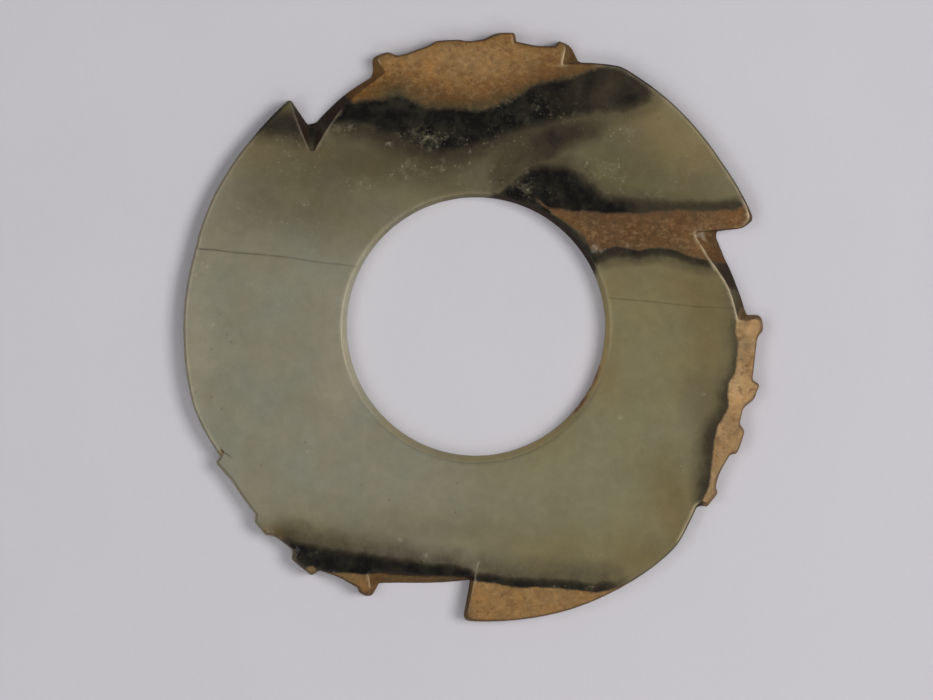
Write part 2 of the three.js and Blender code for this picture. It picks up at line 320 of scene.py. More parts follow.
FOOT_CRUST = [
    (-44, -61.4), (-37.7, -62.3), (-32.6, -62.5), (-27.5, -62.8), (-24.5, -62.5), (-20.9, -62.8), (-17.3, -63.3), (-12.2, -63.3),
    (-7.1, -63.3), (-2, -63.5), (0.1, -64.4), (3.2, -64.8), (6.2, -65.1), (9.3, -65.8), (12.3, -66.3), (15.9, -66.1),
    (21, -66.2), (26.1, -66.8), (31.2, -67.4), (34.7, -66.7), (37.8, -65.8), (42.3, -64.2),
]
INK_CREST = [
    (-41, 55.7), (-37.4, 59.7), (-32.6, 60), (-29.8, 59), (-26.2, 59.2), (-22.4, 60), (-18.9, 60), (-15.3, 58.4),
    (-9.2, 56.9), (-0.8, 56.4), (6.3, 57.7), (11.9, 60.2), (15.9, 63), (22.5, 64.3), (28.1, 65.8), (33.7, 68.4),
    (39.3, 67.8), (44.9, 64.3), (46.2, 61.7), (45.4, 57.2), (39.8, 54.1), (32.7, 53.6), (26.6, 52.1), (19, 50.6),
    (12.4, 48.8), (6.8, 47.3), (1.2, 45.2), (-3.9, 43.5), (-8.5, 43.2), (-13, 44.2), (-17.6, 46), (-22.2, 48),
    (-27.2, 49.8), (-31.8, 50.8), (-35.1, 50.1), (-37.4, 50.1),
]
INK_BETWEEN = [
    (5.8, 48.5), (14.4, 50.1), (22, 52.1), (30.9, 53.6), (34.2, 51.6), (32.2, 48.5), (28.1, 47), (23.6, 45.5),
    (20, 43), (16.9, 40.9), (12.4, 38.4), (8.1, 34.3), (5.3, 34.8), (4.2, 39.9), (4.8, 45),
]
INK_LOBE = [
    (13.6, 40.4), (18.2, 41.7), (23.6, 41.4), (27.6, 39.4), (29.6, 36.3), (33.7, 33.8), (42.3, 32.3), (55, 31.8),
    (68.3, 32), (69.5, 30.8), (66.7, 28.7), (58.9, 28.2), (51.7, 28.5), (46.9, 28), (37.3, 27.5), (29.6, 28),
    (24.1, 28.6), (21, 29), (17.5, 29.7), (14.4, 31), (11.4, 32), (8.3, 32.8), (6.8, 33.8), (8.3, 35.3),
    (10.9, 37.4),
]
INK_TOOTH = [
    (-52.1, 54.1), (-49.1, 54.6), (-45.5, 54.6), (-43.5, 53.6), (-41.7, 51.6), (-40.5, 47), (-44, 47.5), (-48.1, 48.3),
    (-53.7, 49), (-55.2, 50.6),
]
INK_UNDER_BAND = [
    (28.1, 22.6), (29.9, 21.1), (31.7, 20.3), (33.6, 21), (36.4, 21.5), (39.2, 21.1), (41.9, 20.3), (44.4, 21),
    (47.2, 21.2), (50.2, 21), (52.7, 20), (54.3, 19.2), (57.4, 18.4), (59.8, 18), (61.1, 15.5), (57.6, 15.8),
    (53.5, 17), (47.4, 18.4), (42.3, 17.8), (39.3, 18.4), (35.7, 18.1), (32.7, 16.8), (30.2, 17.6), (28.1, 19.6),
]
INK_FOOT = [
    (-47.3, -53.8), (-44, -54.6), (-38.9, -56.1), (-32.6, -57.1), (-25, -58.1), (-16.1, -59.4), (-7.2, -60.7), (-0.3, -62.1),
    (1.7, -63.2), (0.2, -65.3), (-2.1, -64.7), (-7.2, -64.5), (-12.3, -64.5), (-17.3, -64.5), (-20.9, -64), (-27.5, -64),
    (-32.6, -63.7), (-37.7, -63.2), (-41.5, -62.7), (-44.5, -59.7), (-46.6, -56.4),
]
FISSURE_WEST = [
    (-72.2, 20.2), (-69.4, 19.8), (-65.6, 19.6), (-62.3, 19.1), (-58, 18.7), (-53.7, 18.4), (-46.6, 17.6), (-38.9, 16.4),
    (-29.5, 15.4),
]
FISSURE_EAST = [
    (33.2, 7.5), (38.5, 7), (43.9, 6.6), (50.2, 5.9), (57.3, 5.1), (63.2, 4.9), (66.7, 4.7),
]
NOTCH_CUT = [
    (-64.1, -31), (-63.6, -31.6), (-62.6, -32.1), (-61.3, -33.1),
]
SAW_RUN = [
    (1.4, -59.4), (0.9, -61.2), (0.6, -62.7), (0.4, -64.5),
]
SCRAPE = [
    (6.8, 66.3), (4, 64.3), (1.1, 62.1),
]
DARK_SPECKS = [
    (-62.6, -2), (-61.3, -3.8), (-66.4, -5.6), (-64.3, 3.3), (-66.4, -17.8), (-70.4, -16.5), (-60.8, -10.1), (-64.3, -12.2),
    (-63.8, -20.8), (-53.7, -35), (-42.7, -29.2), (-9, -37.1), (-4.1, -39.6), (-21.4, -43.9), (-25.7, -50.8), (46.9, 52.9),
    (-28.3, -40.1), (-4.6, -47),
]
PALE_SPECKS = [
    (-68.7, 16), (-67.4, 15.5), (-70.4, 13.2), (-72.7, 2.8), (-66.1, 0.8), (-42.2, -31.5), (-18.6, -54.1), (-12, -57.9),
    (-31.3, 50.8), (-21.7, 46.5), (-9.2, 45.7), (37.3, -23.1), (58.6, -17), (-0.8, 44.5),
]


# (x, y, rx, ry, turn, tint, strength): soft patches of the stone's own colour; the pale band down the left edge is
# painted light.
TINTS = {
    "pale": (139, 135, 116),
    "rose": (139, 130, 110),
    "grey": (126, 124, 107),
    "green": (121, 119, 96),
    "olive": (119, 111, 83),
    "amber": (121, 104, 73),
    "brown": (108, 96, 67),
    "deep": (92, 85, 65),
    "moss": (88, 84, 60),
    "umber": (74, 67, 48),
    "rust": (98, 75, 42),
    "lime": (110, 100, 46),
}
PATCHES = [
    # painted light: this pale band brightens the thin left edge
    (-70.4, -3.3, 4.1, 27.9, 0, "pale", 0.8),
    (-34.4, -8.4, 5.6, 20.3, 0, "rose", 0.75),
    (-53.7, 6.9, 15.2, 11.4, 0, "grey", 0.3),
    (-44, 46.3, 35.6, 16.8, -18, "deep", 0.95),
    (-53.7, 31, 12.7, 8.6, -20, "deep", 0.5),
    (-36.4, 26.7, 15.2, 6.1, -8, "deep", 0.35),
    (-18.6, 42.4, 30.5, 10.2, -6, "deep", 0.9),
    (-11, 43, 15.2, 6.6, -4, "umber", 0.85),
    (-31.3, 42.4, 15.2, 7.6, -10, "umber", 0.35),
    (-38.9, 33.6, 22.9, 8.6, -12, "moss", 0.25),
    (-18.6, 32.3, 12.7, 4.1, -12, "olive", 0.45),
    (-25.7, 24.2, 6.6, 4.1, -40, "olive", 0.5),
    (-66.9, 32.3, 5.1, 12.7, -28, "grey", 0.75),
    (-54.7, 45, 6.6, 7.6, -30, "amber", 0.35),
    (-63.1, 25.9, 6.1, 10.2, -25, "olive", 0.3),
    (-59.3, 16.5, 10.2, 5.1, 0, "green", 0.35),
    (-44, -45.2, 22.9, 5.6, -5, "green", 0.5),
    (-18.6, -49, 30.5, 5.6, 3, "green", 0.6),
    (-28.8, -52.8, 35.6, 5.1, 2, "deep", 0.35),
    (11.9, -43.9, 15.2, 10.2, 0, "green", 0.7),
    (6.8, -51.5, 20.3, 6.1, 0, "deep", 0.12),
    (-42.7, -52.6, 20.3, 3.8, -8, "brown", 0.5),
    (-49.3, -54.1, 3.6, 2, -30, "rust", 0.7),
    (68.5, 6.4, 2.5, 3.8, 10, "rust", 0.9),
    (-47.6, 56.7, 2.3, 1.8, 0, "lime", 0.95),
    (29.6, 22.1, 3.6, 5.6, 35, "umber", 0.7),
    (58.9, 12.5, 8.6, 4.1, -30, "brown", 0.4),
    (-41.5, 45, 5.1, 3.6, 0, "amber", 0.25),
    (32.2, -36.3, 15.2, 15.2, 20, "green", 0.65),
    (22, -59.2, 30.5, 6.6, -6, "brown", 0.35),
    (44.9, -23.6, 12.7, 15.2, 10, "green", 0.35),
    (49.5, -5.8, 6.6, 17.8, 0, "olive", 0.4),
    (34.2, -11.4, 4.1, 8.6, 5, "amber", 0.45),
    (59.6, -3.3, 6.1, 25.4, 2, "brown", 0.85),
    (58.6, -21.1, 5.6, 10.2, 10, "deep", 0.5),
    (42.3, 10.7, 10.2, 3.6, 0, "brown", 0.35),
    (57.6, 9.4, 10.2, 6.1, 0, "brown", 0.7),
    (35.2, 10.7, 5.1, 6.6, 0, "amber", 0.3),
    (42.3, 16.5, 15.2, 3, -3, "brown", 0.7),
    (51, -45.2, 7.6, 15.2, 22, "brown", 0.85),
    (49.5, -49, 3.6, 6.1, 25, "amber", 0.4),
    (43.6, -59.2, 10.2, 5.6, 30, "brown", 0.85),
    (57.6, 41.2, 7.6, 12.7, -35, "amber", 0.6),
    (43.4, 56.7, 3.6, 3.6, 0, "umber", 0.6),
    (45.4, 50.6, 12.7, 10.2, -40, "amber", 0.75),
    (57.1, 35.3, 12.7, 6.1, 0, "deep", 0.6),
    (42.3, 37.4, 12.7, 6.6, -10, "moss", 0.6),
    (35.2, 47.5, 10.2, 6.6, -40, "deep", 0.75),
    (66.5, 32.3, 4.1, 7.6, 30, "olive", 0.3),
    (22, 47.5, 17.8, 10.2, 0, "deep", 0.9),
    (1.7, 37.4, 12.7, 6.1, 0, "deep", 0.6),
    (32.7, 40.9, 6.6, 6.6, 0, "moss", 0.4),
    (39.8, 40.4, 10.2, 6.1, 0, "moss", 0.35),
    (8.1, 41.2, 5.1, 6.6, 0, "umber", 0.4),
]


def linear(rgb):
    c = np.asarray(rgb, float) / 255.0
    return np.where(c <= 0.04045, c / 12.92, ((c + 0.055) / 1.055) ** 2.4)


def stone(x, y, seed):
    """The stone's own colour at a point, sRGB 0 to 255, before crust and ink."""
    ux = x + 3.0 * clouds(x, y, 16, seed + 1)
    uy = y + 3.0 * clouds(x, y, 16, seed + 2)
    east = ease(-26, 22, ux + 0.12 * uy)
    colour = np.outer(1 - east, TINTS["grey"]) + np.outer(east, TINTS["olive"])
    for cx, cy, rx, ry, turn, tint, strength in PATCHES:
        w = np.clip(strength * spot(ux, uy, cx, cy, rx, ry, turn), 0, 1)[:, None]
        colour = colour * (1 - w) + w * np.array(TINTS[tint], float)
    light = 1 + 0.035 * clouds(x, y, 9, seed + 5, 4) + 0.02 * clouds(x, y, 2.6, seed + 9, 2)
    warm = 2.5 * clouds(x, y, 12, seed + 11, 3)
    return colour * light[:, None] + warm[:, None] * np.array([1.0, 0.0, -1.4])


def crust_edge(x, y, seed):
    """How far inside the weathered crust a point is, in half widths of its soft edge, and which crust it is."""
    wob = 0.7 * noise(x, y, 5.5, seed + 21) + 0.35 * noise(x, y, 1.9, seed + 22)
    crest = (y - height_of(CREST_CRUST, x) + 0.5 * wob) / 1.15
    upper, lower = height_of(BAND_CRUST_UPPER, x), height_of(BAND_CRUST_LOWER, x)
    bore_r = np.hypot(x - BORE_UPPER[0], y - BORE_UPPER[1])
    band = np.minimum.reduce([
        (upper - y + 0.25 * wob) / 0.75,
        (y - lower + 0.2 * wob) / 0.45,
        (bore_r - 34.6 + 0.2 * wob) / 0.4,
        (x - 17.0) / 2.0,
    ])
    side_line = np.asarray(SIDE_CRUST, float)[::-1]
    side = np.minimum((x - np.interp(y, side_line[:, 1], side_line[:, 0]) + 0.25 * wob) / 0.45, (5.2 - y + 1.2 * (x - 68.2)) / 0.5)
    side = np.where(y < -48, -5, side)
    foot = (height_of(FOOT_CRUST, x) - y + 0.2 * wob) / 0.45
    foot = np.where((x < -46) | (x > 44) | (y > -40), -5, foot)
    small = np.full(x.shape, -5.0)
    for cx, cy, r in CRUST_SPOTS:
        small = np.maximum(small, (r - np.hypot(x - cx, y - cy) + 0.3 * wob) / 0.45)
    crest = np.where(y < 40, -5, crest)
    band = np.where((x < 8) | (y < 10) | (y > 40), -5, band)
    all_of = np.stack([crest, band, side, foot, small])
    which = np.argmax(all_of, 0)
    return np.clip(all_of.max(0), -5, 5), which


CRUST_SPOTS = [(-64.0, -31.8, 0.85), (-52.6, -51.4, 0.7), (-51.0, -52.6, 0.45), (-41.3, -61.9, 1.4), (-49.0, -53.6, 0.4)]
CRUST_TINTS = [(128, 95, 55), (92, 67, 41), (154, 124, 86), (134, 103, 63), (114, 92, 60)]
CREST_STEPS = [(0.0, (72, 62, 38)), (1.1, (82, 65, 38)), (2.8, (94, 68, 38)), (5.0, (114, 83, 46)), (8.5, (135, 101, 59)), (12.0, (141, 108, 67))]


def crust(x, y, which, seed):
    base = np.array(CRUST_TINTS, float)[which]
    # the broad crest goes from olive and russet at its lower edge to a paler tan along the teeth
    depth = y - height_of(CREST_CRUST, x) + 1.3 * noise(x, y, 5.0, seed + 37) + 0.6 * noise(x, y, 2.0, seed + 38)
    depth = depth + 1.3 * ease(6, 20, x)
    steps = [d for d, _ in CREST_STEPS]
    crest = np.stack([np.interp(depth, steps, [c[k] for _, c in CREST_STEPS]) for k in range(3)], -1)
    # and keeps an ochre margin at the rim, russet at its left foot
    rim = np.hypot(x - CENTRE[0], y - CENTRE[1])
    ochre = (0.55 * ease(70.2, 73.2, rim + 0.6 * noise(x, y, 3.0, seed + 39)))[:, None]
    crest = crest * (1 - ochre) + ochre * np.array([112, 84, 44], float)
    russet = (0.55 * ease(-20, -30, x))[:, None]
    crest = crest * (1 - russet) + russet * np.array([122, 84, 36], float)
    base = np.where((which == 0)[:, None], crest * 0.95, base)
    # the band across is paler at its outer end
    shade = np.where(which == 1, 0.93 + 0.14 * ease(44, 66, x) + 0.22 * spot(x, y, 59.5, 21.5, 4.5, 3.0), 1.0)
    # along the foot the crust is darker where it is thin
    shade = np.where((which == 3) & (x < -0.5), 0.84, shade)
    shade = np.where(which == 2, 1.04 - 0.10 * ease(-22, -30, y) + 0.12 * spot(x, y, 67.2, -16.0, 2.6, 3.0) - 0.12 * spot(x, y, 69.3, -8.4, 2.0, 2.4) - 0.40 * spot(x, y, 68.6, 3.7, 1.5, 2.2) - 0.14 * spot(x, y, 68.5, -4.6, 3.0, 2.2) - 0.12 * spot(x, y, 65.5, -23.6, 3, 2.5), shade)
    # the end of the band at the drilled hole is a brighter ochre
    bore_r = np.hypot(x - BORE_UPPER[0], y - BORE_UPPER[1])
    bright = (0.38 * (which == 1) * (1 - ease(35.6, 39.5, bore_r)) * ease(22, 27, y))[:, None]
    base = base * (1 - bright) + bright * np.array([130, 86, 40], float)
    shade = shade * (1 + 0.09 * clouds(x, y, 5.0, seed + 31, 3) + 0.05 * noise(x, y, 1.5, seed + 33))
    red = 6.0 * clouds(x, y, 7.0, seed + 35, 2)
    return base * shade[:, None] + red[:, None] * np.array([1.0, -0.3, -0.9])


def ink(x, y, seed):
    """Amount of near-black in the stone, 0 to 1."""
    wob = 0.9 * noise(x, y, 6.0, seed + 41) + 0.45 * noise(x, y, 2.2, seed + 42)
    wx, wy = x + 0.8 * wob, y + 0.6 * wob
    amount = np.zeros(x.shape)

    def add(value):
        np.maximum(amount, value, out=amount)

    d = inside(wx, wy, INK_CREST)
    over = y > height_of(CREST_CRUST, x) - 1.6
    # the ink is full against the crust and thins out lower down and towards the right
    strong = 1.0 - ease(14, 32, x) * (0.24 + 0.20 * noise(x, y, 7.0, seed + 44))
    add(strong * np.where(over, ease(-1.6, 0.8, d), ease(-2.8, 3.6, d)))
    add(np.where(over, 0, np.interp(x, [-40, -32, 10, 26, 44], [0.0, 0.62, 0.55, 0.45, 0.3]) * ease(-7.0, 1.0, d)))
    add(np.interp(x, [4, 10, 15, 20, 26, 34], [0.42, 0.46, 0.52, 0.70, 0.60, 0.44]) * ease(-4.2, 2.6, inside(wx, wy, INK_BETWEEN)))
    lobe = inside(wx, wy, INK_LOBE)
    thin = ease(34, 46, x)
    under = y < height_of(BAND_CRUST_UPPER, x) + 1.0
    add((1.0 - 0.40 * thin) * np.where(under, ease(-0.9, 0.6, lobe), ease(-3.0 + 0.4 * thin, 3.0 - 1.6 * thin, lobe)))
    add(np.where(under, 0, np.interp(x, [8, 20, 34, 50, 70], [0.2, 0.42, 0.42, 0.3, 0.12]) * ease(-6.0, 0.5, lobe)))
    add(0.70 * ease(-5.2, 3.2, inside(wx, wy, INK_TOOTH)))
    band = inside(wx, wy, INK_UNDER_BAND)
    patchy = 0.62 + 0.5 * np.clip(noise(x, y, 5.0, seed + 46) + 0.3, 0, 1) - 0.25 * ease(50, 60, x)
    add(0.70 * (0.85 + 0.3 * patchy) * ease(-2.0, 1.0, band))
    add(0.40 * ease(-4.8, 0.2, band))
    side_line = np.asarray(SIDE_CRUST, float)[::-1]
    d = np.interp(y, side_line[:, 1], side_line[:, 0]) - x
    width = np.interp(y, [-48, -44, -38, -33, -27, -20, -12, 0, 8], [1.0, 2.4, 3.6, 4.0, 3.6, 2.8, 2.4, 2.2, 1.6])
    depth = np.interp(y, [-50, -45, -40, -33, -28, -20, -12, 0, 6], [0.0, 0.50, 0.68, 0.58, 0.66, 0.58, 0.5, 0.45, 0.3])
    near = np.where((y > -50) & (y < 8) & (d > -2), depth * np.exp(-np.clip(d, 0, 50) ** 2 / (1.3 * width) ** 2), 0)
    add(near)
    add(np.where((y > -50) & (y < 14) & (d > -2), 0.26 * (1 - ease(1, 9, d)) * ease(-50, -40, y), 0))
    foot = inside(wx, wy, INK_FOOT)
    above = y - height_of(FOOT_CRUST, x)
    add(0.97 * ease(-2.3, 1.3, foot))
    add(0.46 * ease(-9.0, 0.3, foot) * ease(14, -6, x))
    tail = np.where((x > -4) & (above > -1.5) & (y < -40), np.interp(x, [-4, 2, 20, 34, 40], [0.0, 0.88, 0.84, 0.78, 0.2]), 0)
    add(tail * (1 - ease(0.8, 4.4, above + 0.5 * wob)))
    add(0.50 * np.where(x > -2, tail, 0) * (1 - ease(1.5, 13.0, above)))
    # dark edge of the drilled hole where it cuts the black lobe
    dx, dy = x - BORE_UPPER[0], y - BORE_UPPER[1]
    angle, r = np.degrees(np.arctan2(dy, dx)), np.hypot(dx, dy)
    add(0.90 * ease(20, 34, angle) * (1 - ease(77, 87, angle)) * (1 - ease(34.3, 35.1, r)))
    add(0.85 * ease(25, 30, angle) * (1 - ease(34, 42, angle)) * (1 - ease(35.4, 36.8, r)))
    add(0.60 * ease(34, 40, angle) * (1 - ease(52, 60, angle)) * (1 - ease(35.2, 36.0, r)))
    # walls of the slanted notches
    add(0.80 * spot(x, y, 64.5, 14.0, 3.0, 6.5, 20) * ease(56, 62, x) * ease(0, 1.2, x - np.interp(y, [8, 12, 17, 22], [66.0, 62.5, 59.5, 56.5])))
    add(0.95 * spot(x, y, -40.5, 50.5, 2.8, 5.6, 0))
    return np.clip(amount, 0, 1)


FLECKS = [
    (-12.3, 47.5, 6.1, 3, -10, 0.7),
    (-17.6, 39.4, 2.5, 5.6, -60, 0.8),
    (-28.8, 35.3, 4.1, 3, -40, 0.8),
    (-8.5, 39.9, 7.6, 3, 0, 0.55),
    (-21.7, 46.5, 1.5, 1.3, 0, 0.8),
    (-30, 50.8, 4.1, 1.5, 0, 0.6),
    (-44, 42.4, 12.7, 10.2, 0, 0.28),
    (-58, 29.2, 5.6, 2.3, -12, 0.6),
    (-47.8, 26.7, 10.2, 2.3, -5, 0.45),
    (-44, 30.8, 3.6, 2.5, 0, 0.5),
    (-32.6, 50.1, 7.6, 2, 0, 0.45),
    (12.9, 39.6, 1.3, 3, -20, 0.5),
    (11.4, 35.6, 2, 1.5, 0, 0.55),
    (15.2, 35.6, 2.5, 2, 0, 0.4),
    (14.4, 34.8, 5.1, 2.5, -20, 0.6),
    (32.2, 39.9, 5.6, 3.6, 0, 0.85),
    (36, 36.1, 4.1, 2.5, 0, 0.6),
    (38.5, 49.6, 5.6, 3, 20, 0.5),
    (45.6, 34.8, 2.5, 2, 0, 0.7),
    (-0.8, 38.6, 10.2, 5.1, 0, 0.35),
    (6.8, 57.2, 3.6, 1.3, 15, 0.7),
    (11.4, 58.4, 2.5, 1, 30, 0.6),
    (4.2, 47.5, 12.7, 3.6, 0, 0.3),
    (22, 55.1, 15.2, 5.1, 0, 0.22),
    (55, 45, 10.2, 15.2, -30, 0.2),
    (20.8, -66.3, 15.2, 0.8, 2, 0.6),
    (1.7, -64.7, 3, 0.8, 0, 0.6),
    (-41.5, -57.4, 4.6, 1, 0, 0.2),
    (-13.5, -59.2, 3.6, 1.3, 0, 0.35),
    (32.2, -57.9, 3.6, 1.3, 0, 0.4),
    (-68.1, 15.5, 3, 2, 0, 0.5),
    (-69.4, 4.3, 5.1, 5.1, 0, 0.25),
    (52.5, -36.3, 5.1, 3.6, 0, 0.25),
    (49.5, -43.9, 5.1, 5.1, 0, 0.25),
    (-18.6, -63.7, 2, 0.8, 0, 0.7),
    (32.2, 20.1, 2.5, 1.5, 0, 0.9),
    (39.3, 20.1, 2.5, 1, 0, 0.6),
    (-56.7, -18.5, 22.9, 25.4, 0, 0.08),
    (22, -31.2, 40.6, 15.2, 0, 0.07),
]


def flecks(x, y, seed):
    total = np.zeros(x.shape)
    for cx, cy, rx, ry, turn, strength in FLECKS:
        total = np.maximum(total, strength * spot(x, y, cx, cy, rx, ry, turn))
    return np.clip(total * (1 + 0.6 * noise(x, y, 3.0, seed + 51)), 0, 1)


def marks(x, y, z, face):
    """Dark lines and specks (negative) and pale ones (positive) on the upper face and its edges."""
    if face == "under":
        d, t = away(x, y, [(-72.0, 20.9), (-50, 19.0), (-33.0, 17.4), (0, 12), (36, 8.4), (67.0, 5.6)])
        return -0.45 * np.exp(-((d / 0.16) ** 2)) * (0.5 + 0.5 * noise(x, y, 9, 61))
    made = np.zeros(x.shape)
    d, t = away(x, y, FISSURE_WEST)
    made -= np.interp(t, [0, 0.35, 0.6, 1], [0.85, 0.8, 0.55, 0.4]) * np.exp(-((d / 0.17) ** 2)) * (0.85 + 0.25 * noise(x, y, 3, 62))
    d, t = away(x, y, FISSURE_EAST)
    made -= np.interp(t, [0, 0.5, 1], [0.55, 0.5, 0.35]) * np.exp(-((d / 0.15) ** 2)) * (0.85 + 0.25 * noise(x, y, 3, 63))
    d, t = away(x, y, NOTCH_CUT)
    made -= 0.9 * np.exp(-((d / 0.22) ** 2)) * (1 - 0.5 * t)
    for cx, cy in DARK_SPECKS:
        made -= (0.3 + 0.35 * (cx * 7.31 + cy * 3.7) % 0.4) * np.exp(-(((x - cx) ** 2 + (y - cy) ** 2) / (0.16 + (cx * 3.1 - cy * 5.3) % 0.14) ** 2))
    d, t = away(x, y, SAW_RUN)
    made += 0.42 * np.exp(-((d / 0.13) ** 2)) * (0.7 + 0.5 * noise(x, y, 1.4, 75))
    d, t = away(x, y, SCRAPE)
    made += 0.12 * np.exp(-((d / 0.25) ** 2)) * (0.5 + 0.8 * noise(x, y, 1.6, 64))
    wx, wy = x + 0.35 * noise(x, y, 0.9, 65), y + 0.35 * noise(x, y, 0.9, 66)
    for cx, cy in PALE_SPECKS:
        made += 0.24 * np.exp(-(((wx - cx) ** 2 + (wy - cy) ** 2) / 0.34**2))
    wx, wy = x + 1.1 * noise(x, y, 1.5, 67), y + 0.9 * noise(x, y, 1.2, 68)
    for cx, cy, r, strength in PALE_BITS:
        made += strength * np.exp(-(((wx - cx) ** 2 + (wy - cy) ** 2) / r**2)) * (0.6 + 0.6 * noise(x, y, 0.8, 69))
    return np.clip(made, -1, 1)


# small pale places: (x, y, radius, strength)
PALE_BITS = [(31.3, 19.9, 0.8, 0.55), (38.9, 20.5, 0.6, 0.4), (57.3, 23.3, 0.8, 0.85), (59.2, 23.3, 0.9, 0.9), (60.8, 23.2, 0.8, 0.9), (58.5, 22.5, 0.5, 0.6), (60.3, 22.4, 0.5, 0.6), (-70.6, 20.4, 0.5, 0.45)]


# Shade of the wall of the hole round its circle, partly the stone's own tone and partly painted light and shade:
# (angle, share of the stone's tone).
BORE_WALL_PAINTED_SHADING = [(-180, 1.27), (-150, 1.23), (-120, 1.17), (-105, 1.16), (-90, 1.25), (-75, 1.33), (-60, 1.40), (-45, 1.32), (-30, 1.36), (-15, 1.44), (0, 1.40), (15, 1.25), (60, 1.0), (105, 1.2), (120, 1.12), (150, 1.24), (180, 1.27)]
# Painted light and shade on the upper face round the lip of the hole, partly the stone's own tone: (angle, share of the
# stone's tone).
BORE_LIP_PAINTED_SHADING = [(-180, 1.04), (-165, 1.0), (-150, 0.95), (-130, 0.90), (-30, 0.89), (-12, 1.0), (0, 1.08), (15, 1.14), (60, 1.0), (105, 1.15), (120, 1.08), (150, 1.12), (168, 1.06), (180, 1.04)]


# The stone's tone round the hole: partly painted light and shade on its wall and lip, with a warmer wall on its lower
# side.
def bore_painted_shading(x, y):
    dx, dy = x - BORE_UPPER[0], y - BORE_UPPER[1]
    angle, r = np.degrees(np.arctan2(dy, dx)), np.hypot(dx, dy)
    share = np.interp(angle, [a for a, _ in BORE_WALL_PAINTED_SHADING], [s for _, s in BORE_WALL_PAINTED_SHADING])
    lip = np.interp(angle, [a for a, _ in BORE_LIP_PAINTED_SHADING], [s for _, s in BORE_LIP_PAINTED_SHADING])
    wall = 1 - ease(33.93, 34.12, r)
    warm = wall * ease(-165, -120, angle) * (1 - ease(0, 25, angle))
    tone = 1 + (share - 1) * wall + (lip - 1) * (1 - wall) * (1 - ease(34.45, 35.0, r))
    return tone[:, None] * (1 + warm[:, None] * np.array([0.01, -0.03, -0.11]))


# Painted highlights on stretches of the upper edge: first and last angle about the centre, least and most radius,
# strength.
RIM_LIGHT = [
    (122.0, 132.5, 60.0, 66.0, 0.26), (129.2, 133.5, 60.0, 70.5, 0.12), (0.8, 20.6, 57.0, 67.0, 0.68), (20.0, 23.8, 57.0, 60.9, 0.5),
    (110.0, 111.4, 68.6, 72.4, 0.8), (82.2, 83.0, 71.5, 75.2, 0.42), (71.2, 72.6, 69.6, 75.4, 0.62),
    (245.6, 248.4, 68.6, 71.6, 0.42), (313.2, 321.4, 69.5, 75.6, 0.55), (21.2, 25.8, 70.5, 76.4, 0.85),
    (186.0, 206.5, 71.5, 76.0, 0.40), (267.0, 270.2, 64.0, 72.5, 0.22), (25.0, 66.0, 72.5, 77.0, 0.22),
    (139.0, 186.0, 72.0, 76.0, 0.28), (231.0, 232.4, 72.5, 75.0, 0.14),
]
# Painted highlight round the upper edge of the hole: (angle, strength).
BORE_LIGHT = [(-180, 0.30), (-165, 0.24), (-150, 0.14), (-130, 0.05), (-60, 0.0), (-20, 0.06), (0, 0.12), (18, 0.0), (110, 0.0), (140, 0.10), (158, 0.22), (168, 0.32), (180, 0.30)]


def wall_foot_painted_shade(ring, z):
    """Painted shade along the foot of the wall, heavier at the angles of the crust and the dark stone; below zero, on
    the left, painted light makes the wall paler.
    """
    angle = np.degrees(np.arctan2(ring[:, 1] - CENTRE[1], ring[:, 0] - CENTRE[0])) % 360
    share = np.interp(angle, [0, 60, 100, 107, 117, 127, 134, 142, 232, 244, 300, 360], [1.0, 0.8, 0.7, 0.0, 0.0, 0.7, 0.5, -0.8, -0.8, 0.7, 0.6, 1.0])
    return share * (0.42 if z < 3 else (0.26 if z < 5.2 else 0.0))


def rim_light(ring):
    dx, dy = ring[:, 0] - CENTRE[0], ring[:, 1] - CENTRE[1]
    angle, r = np.degrees(np.arctan2(dy, dx)) % 360, np.hypot(dx, dy)
    made = np.zeros(len(ring))
    for first, last, near, far, strength in RIM_LIGHT:
        soft = min(1.0, 0.25 * (last - first))
        part = ease(first - soft, first + soft, angle) * (1 - ease(last - soft, last + soft, angle)) * ((r > near) & (r < far))
        made = np.maximum(made, strength * part)
    return made * (0.78 + 0.5 * noise(ring[:, 0], ring[:, 1], 2.4, 73))


def bore_light(ring):
    angle = np.degrees(np.arctan2(ring[:, 1] - BORE_UPPER[1], ring[:, 0] - BORE_UPPER[0]))
    made = np.interp(angle, [a for a, _ in BORE_LIGHT], [s for _, s in BORE_LIGHT])
    return made * (0.88 + 0.3 * noise(ring[:, 0], ring[:, 1], 3.0, 74))


def stain(x, y, z):
    """Red-brown earth held on the wall of the hole, low on the right."""
    dx, dy = x - BORE_LOWER[0], y - BORE_LOWER[1]
    angle, r = np.degrees(np.arctan2(dy, dx)), np.hypot(dx, dy)
    span = ease(-48, -40, angle) * (1 - ease(-20, -14, angle))
    return span * (1 - ease(33.3, 34.0, r + 0.3 * noise(x, y, 2.2, 71))) * (0.58 + 0.45 * noise(x, y, 2.0, 72))


# ==== mesh =================================================================

# Levels up the side: height, and how far the worn edge has turned in. The edge
# is a quarter ellipse at each face.
TURNS = [0.0, 0.1, 0.3, 0.6, 1.0]


def turned(t):
    return SOFTENING * (1 - math.sqrt(max(0.0, 1 - (1 - t) ** 2)))


LEVELS = (
    [(EDGE * t, turned(t)) for t in TURNS]
    + [(z, 0.0) for z in (1.35, 2.2, 3.0, 3.8, 4.65)]
    + [(THICKNESS - EDGE * t, turned(t)) for t in reversed(TURNS)]
)


def share_at(z):
    return min(1.0, max(0.0, (z - EDGE) / (THICKNESS - 2 * EDGE)))


def weathered(x, y, seed):
    edge, _ = crust_edge(x, y, seed)
    return ease(-1.0, 1.5, edge)


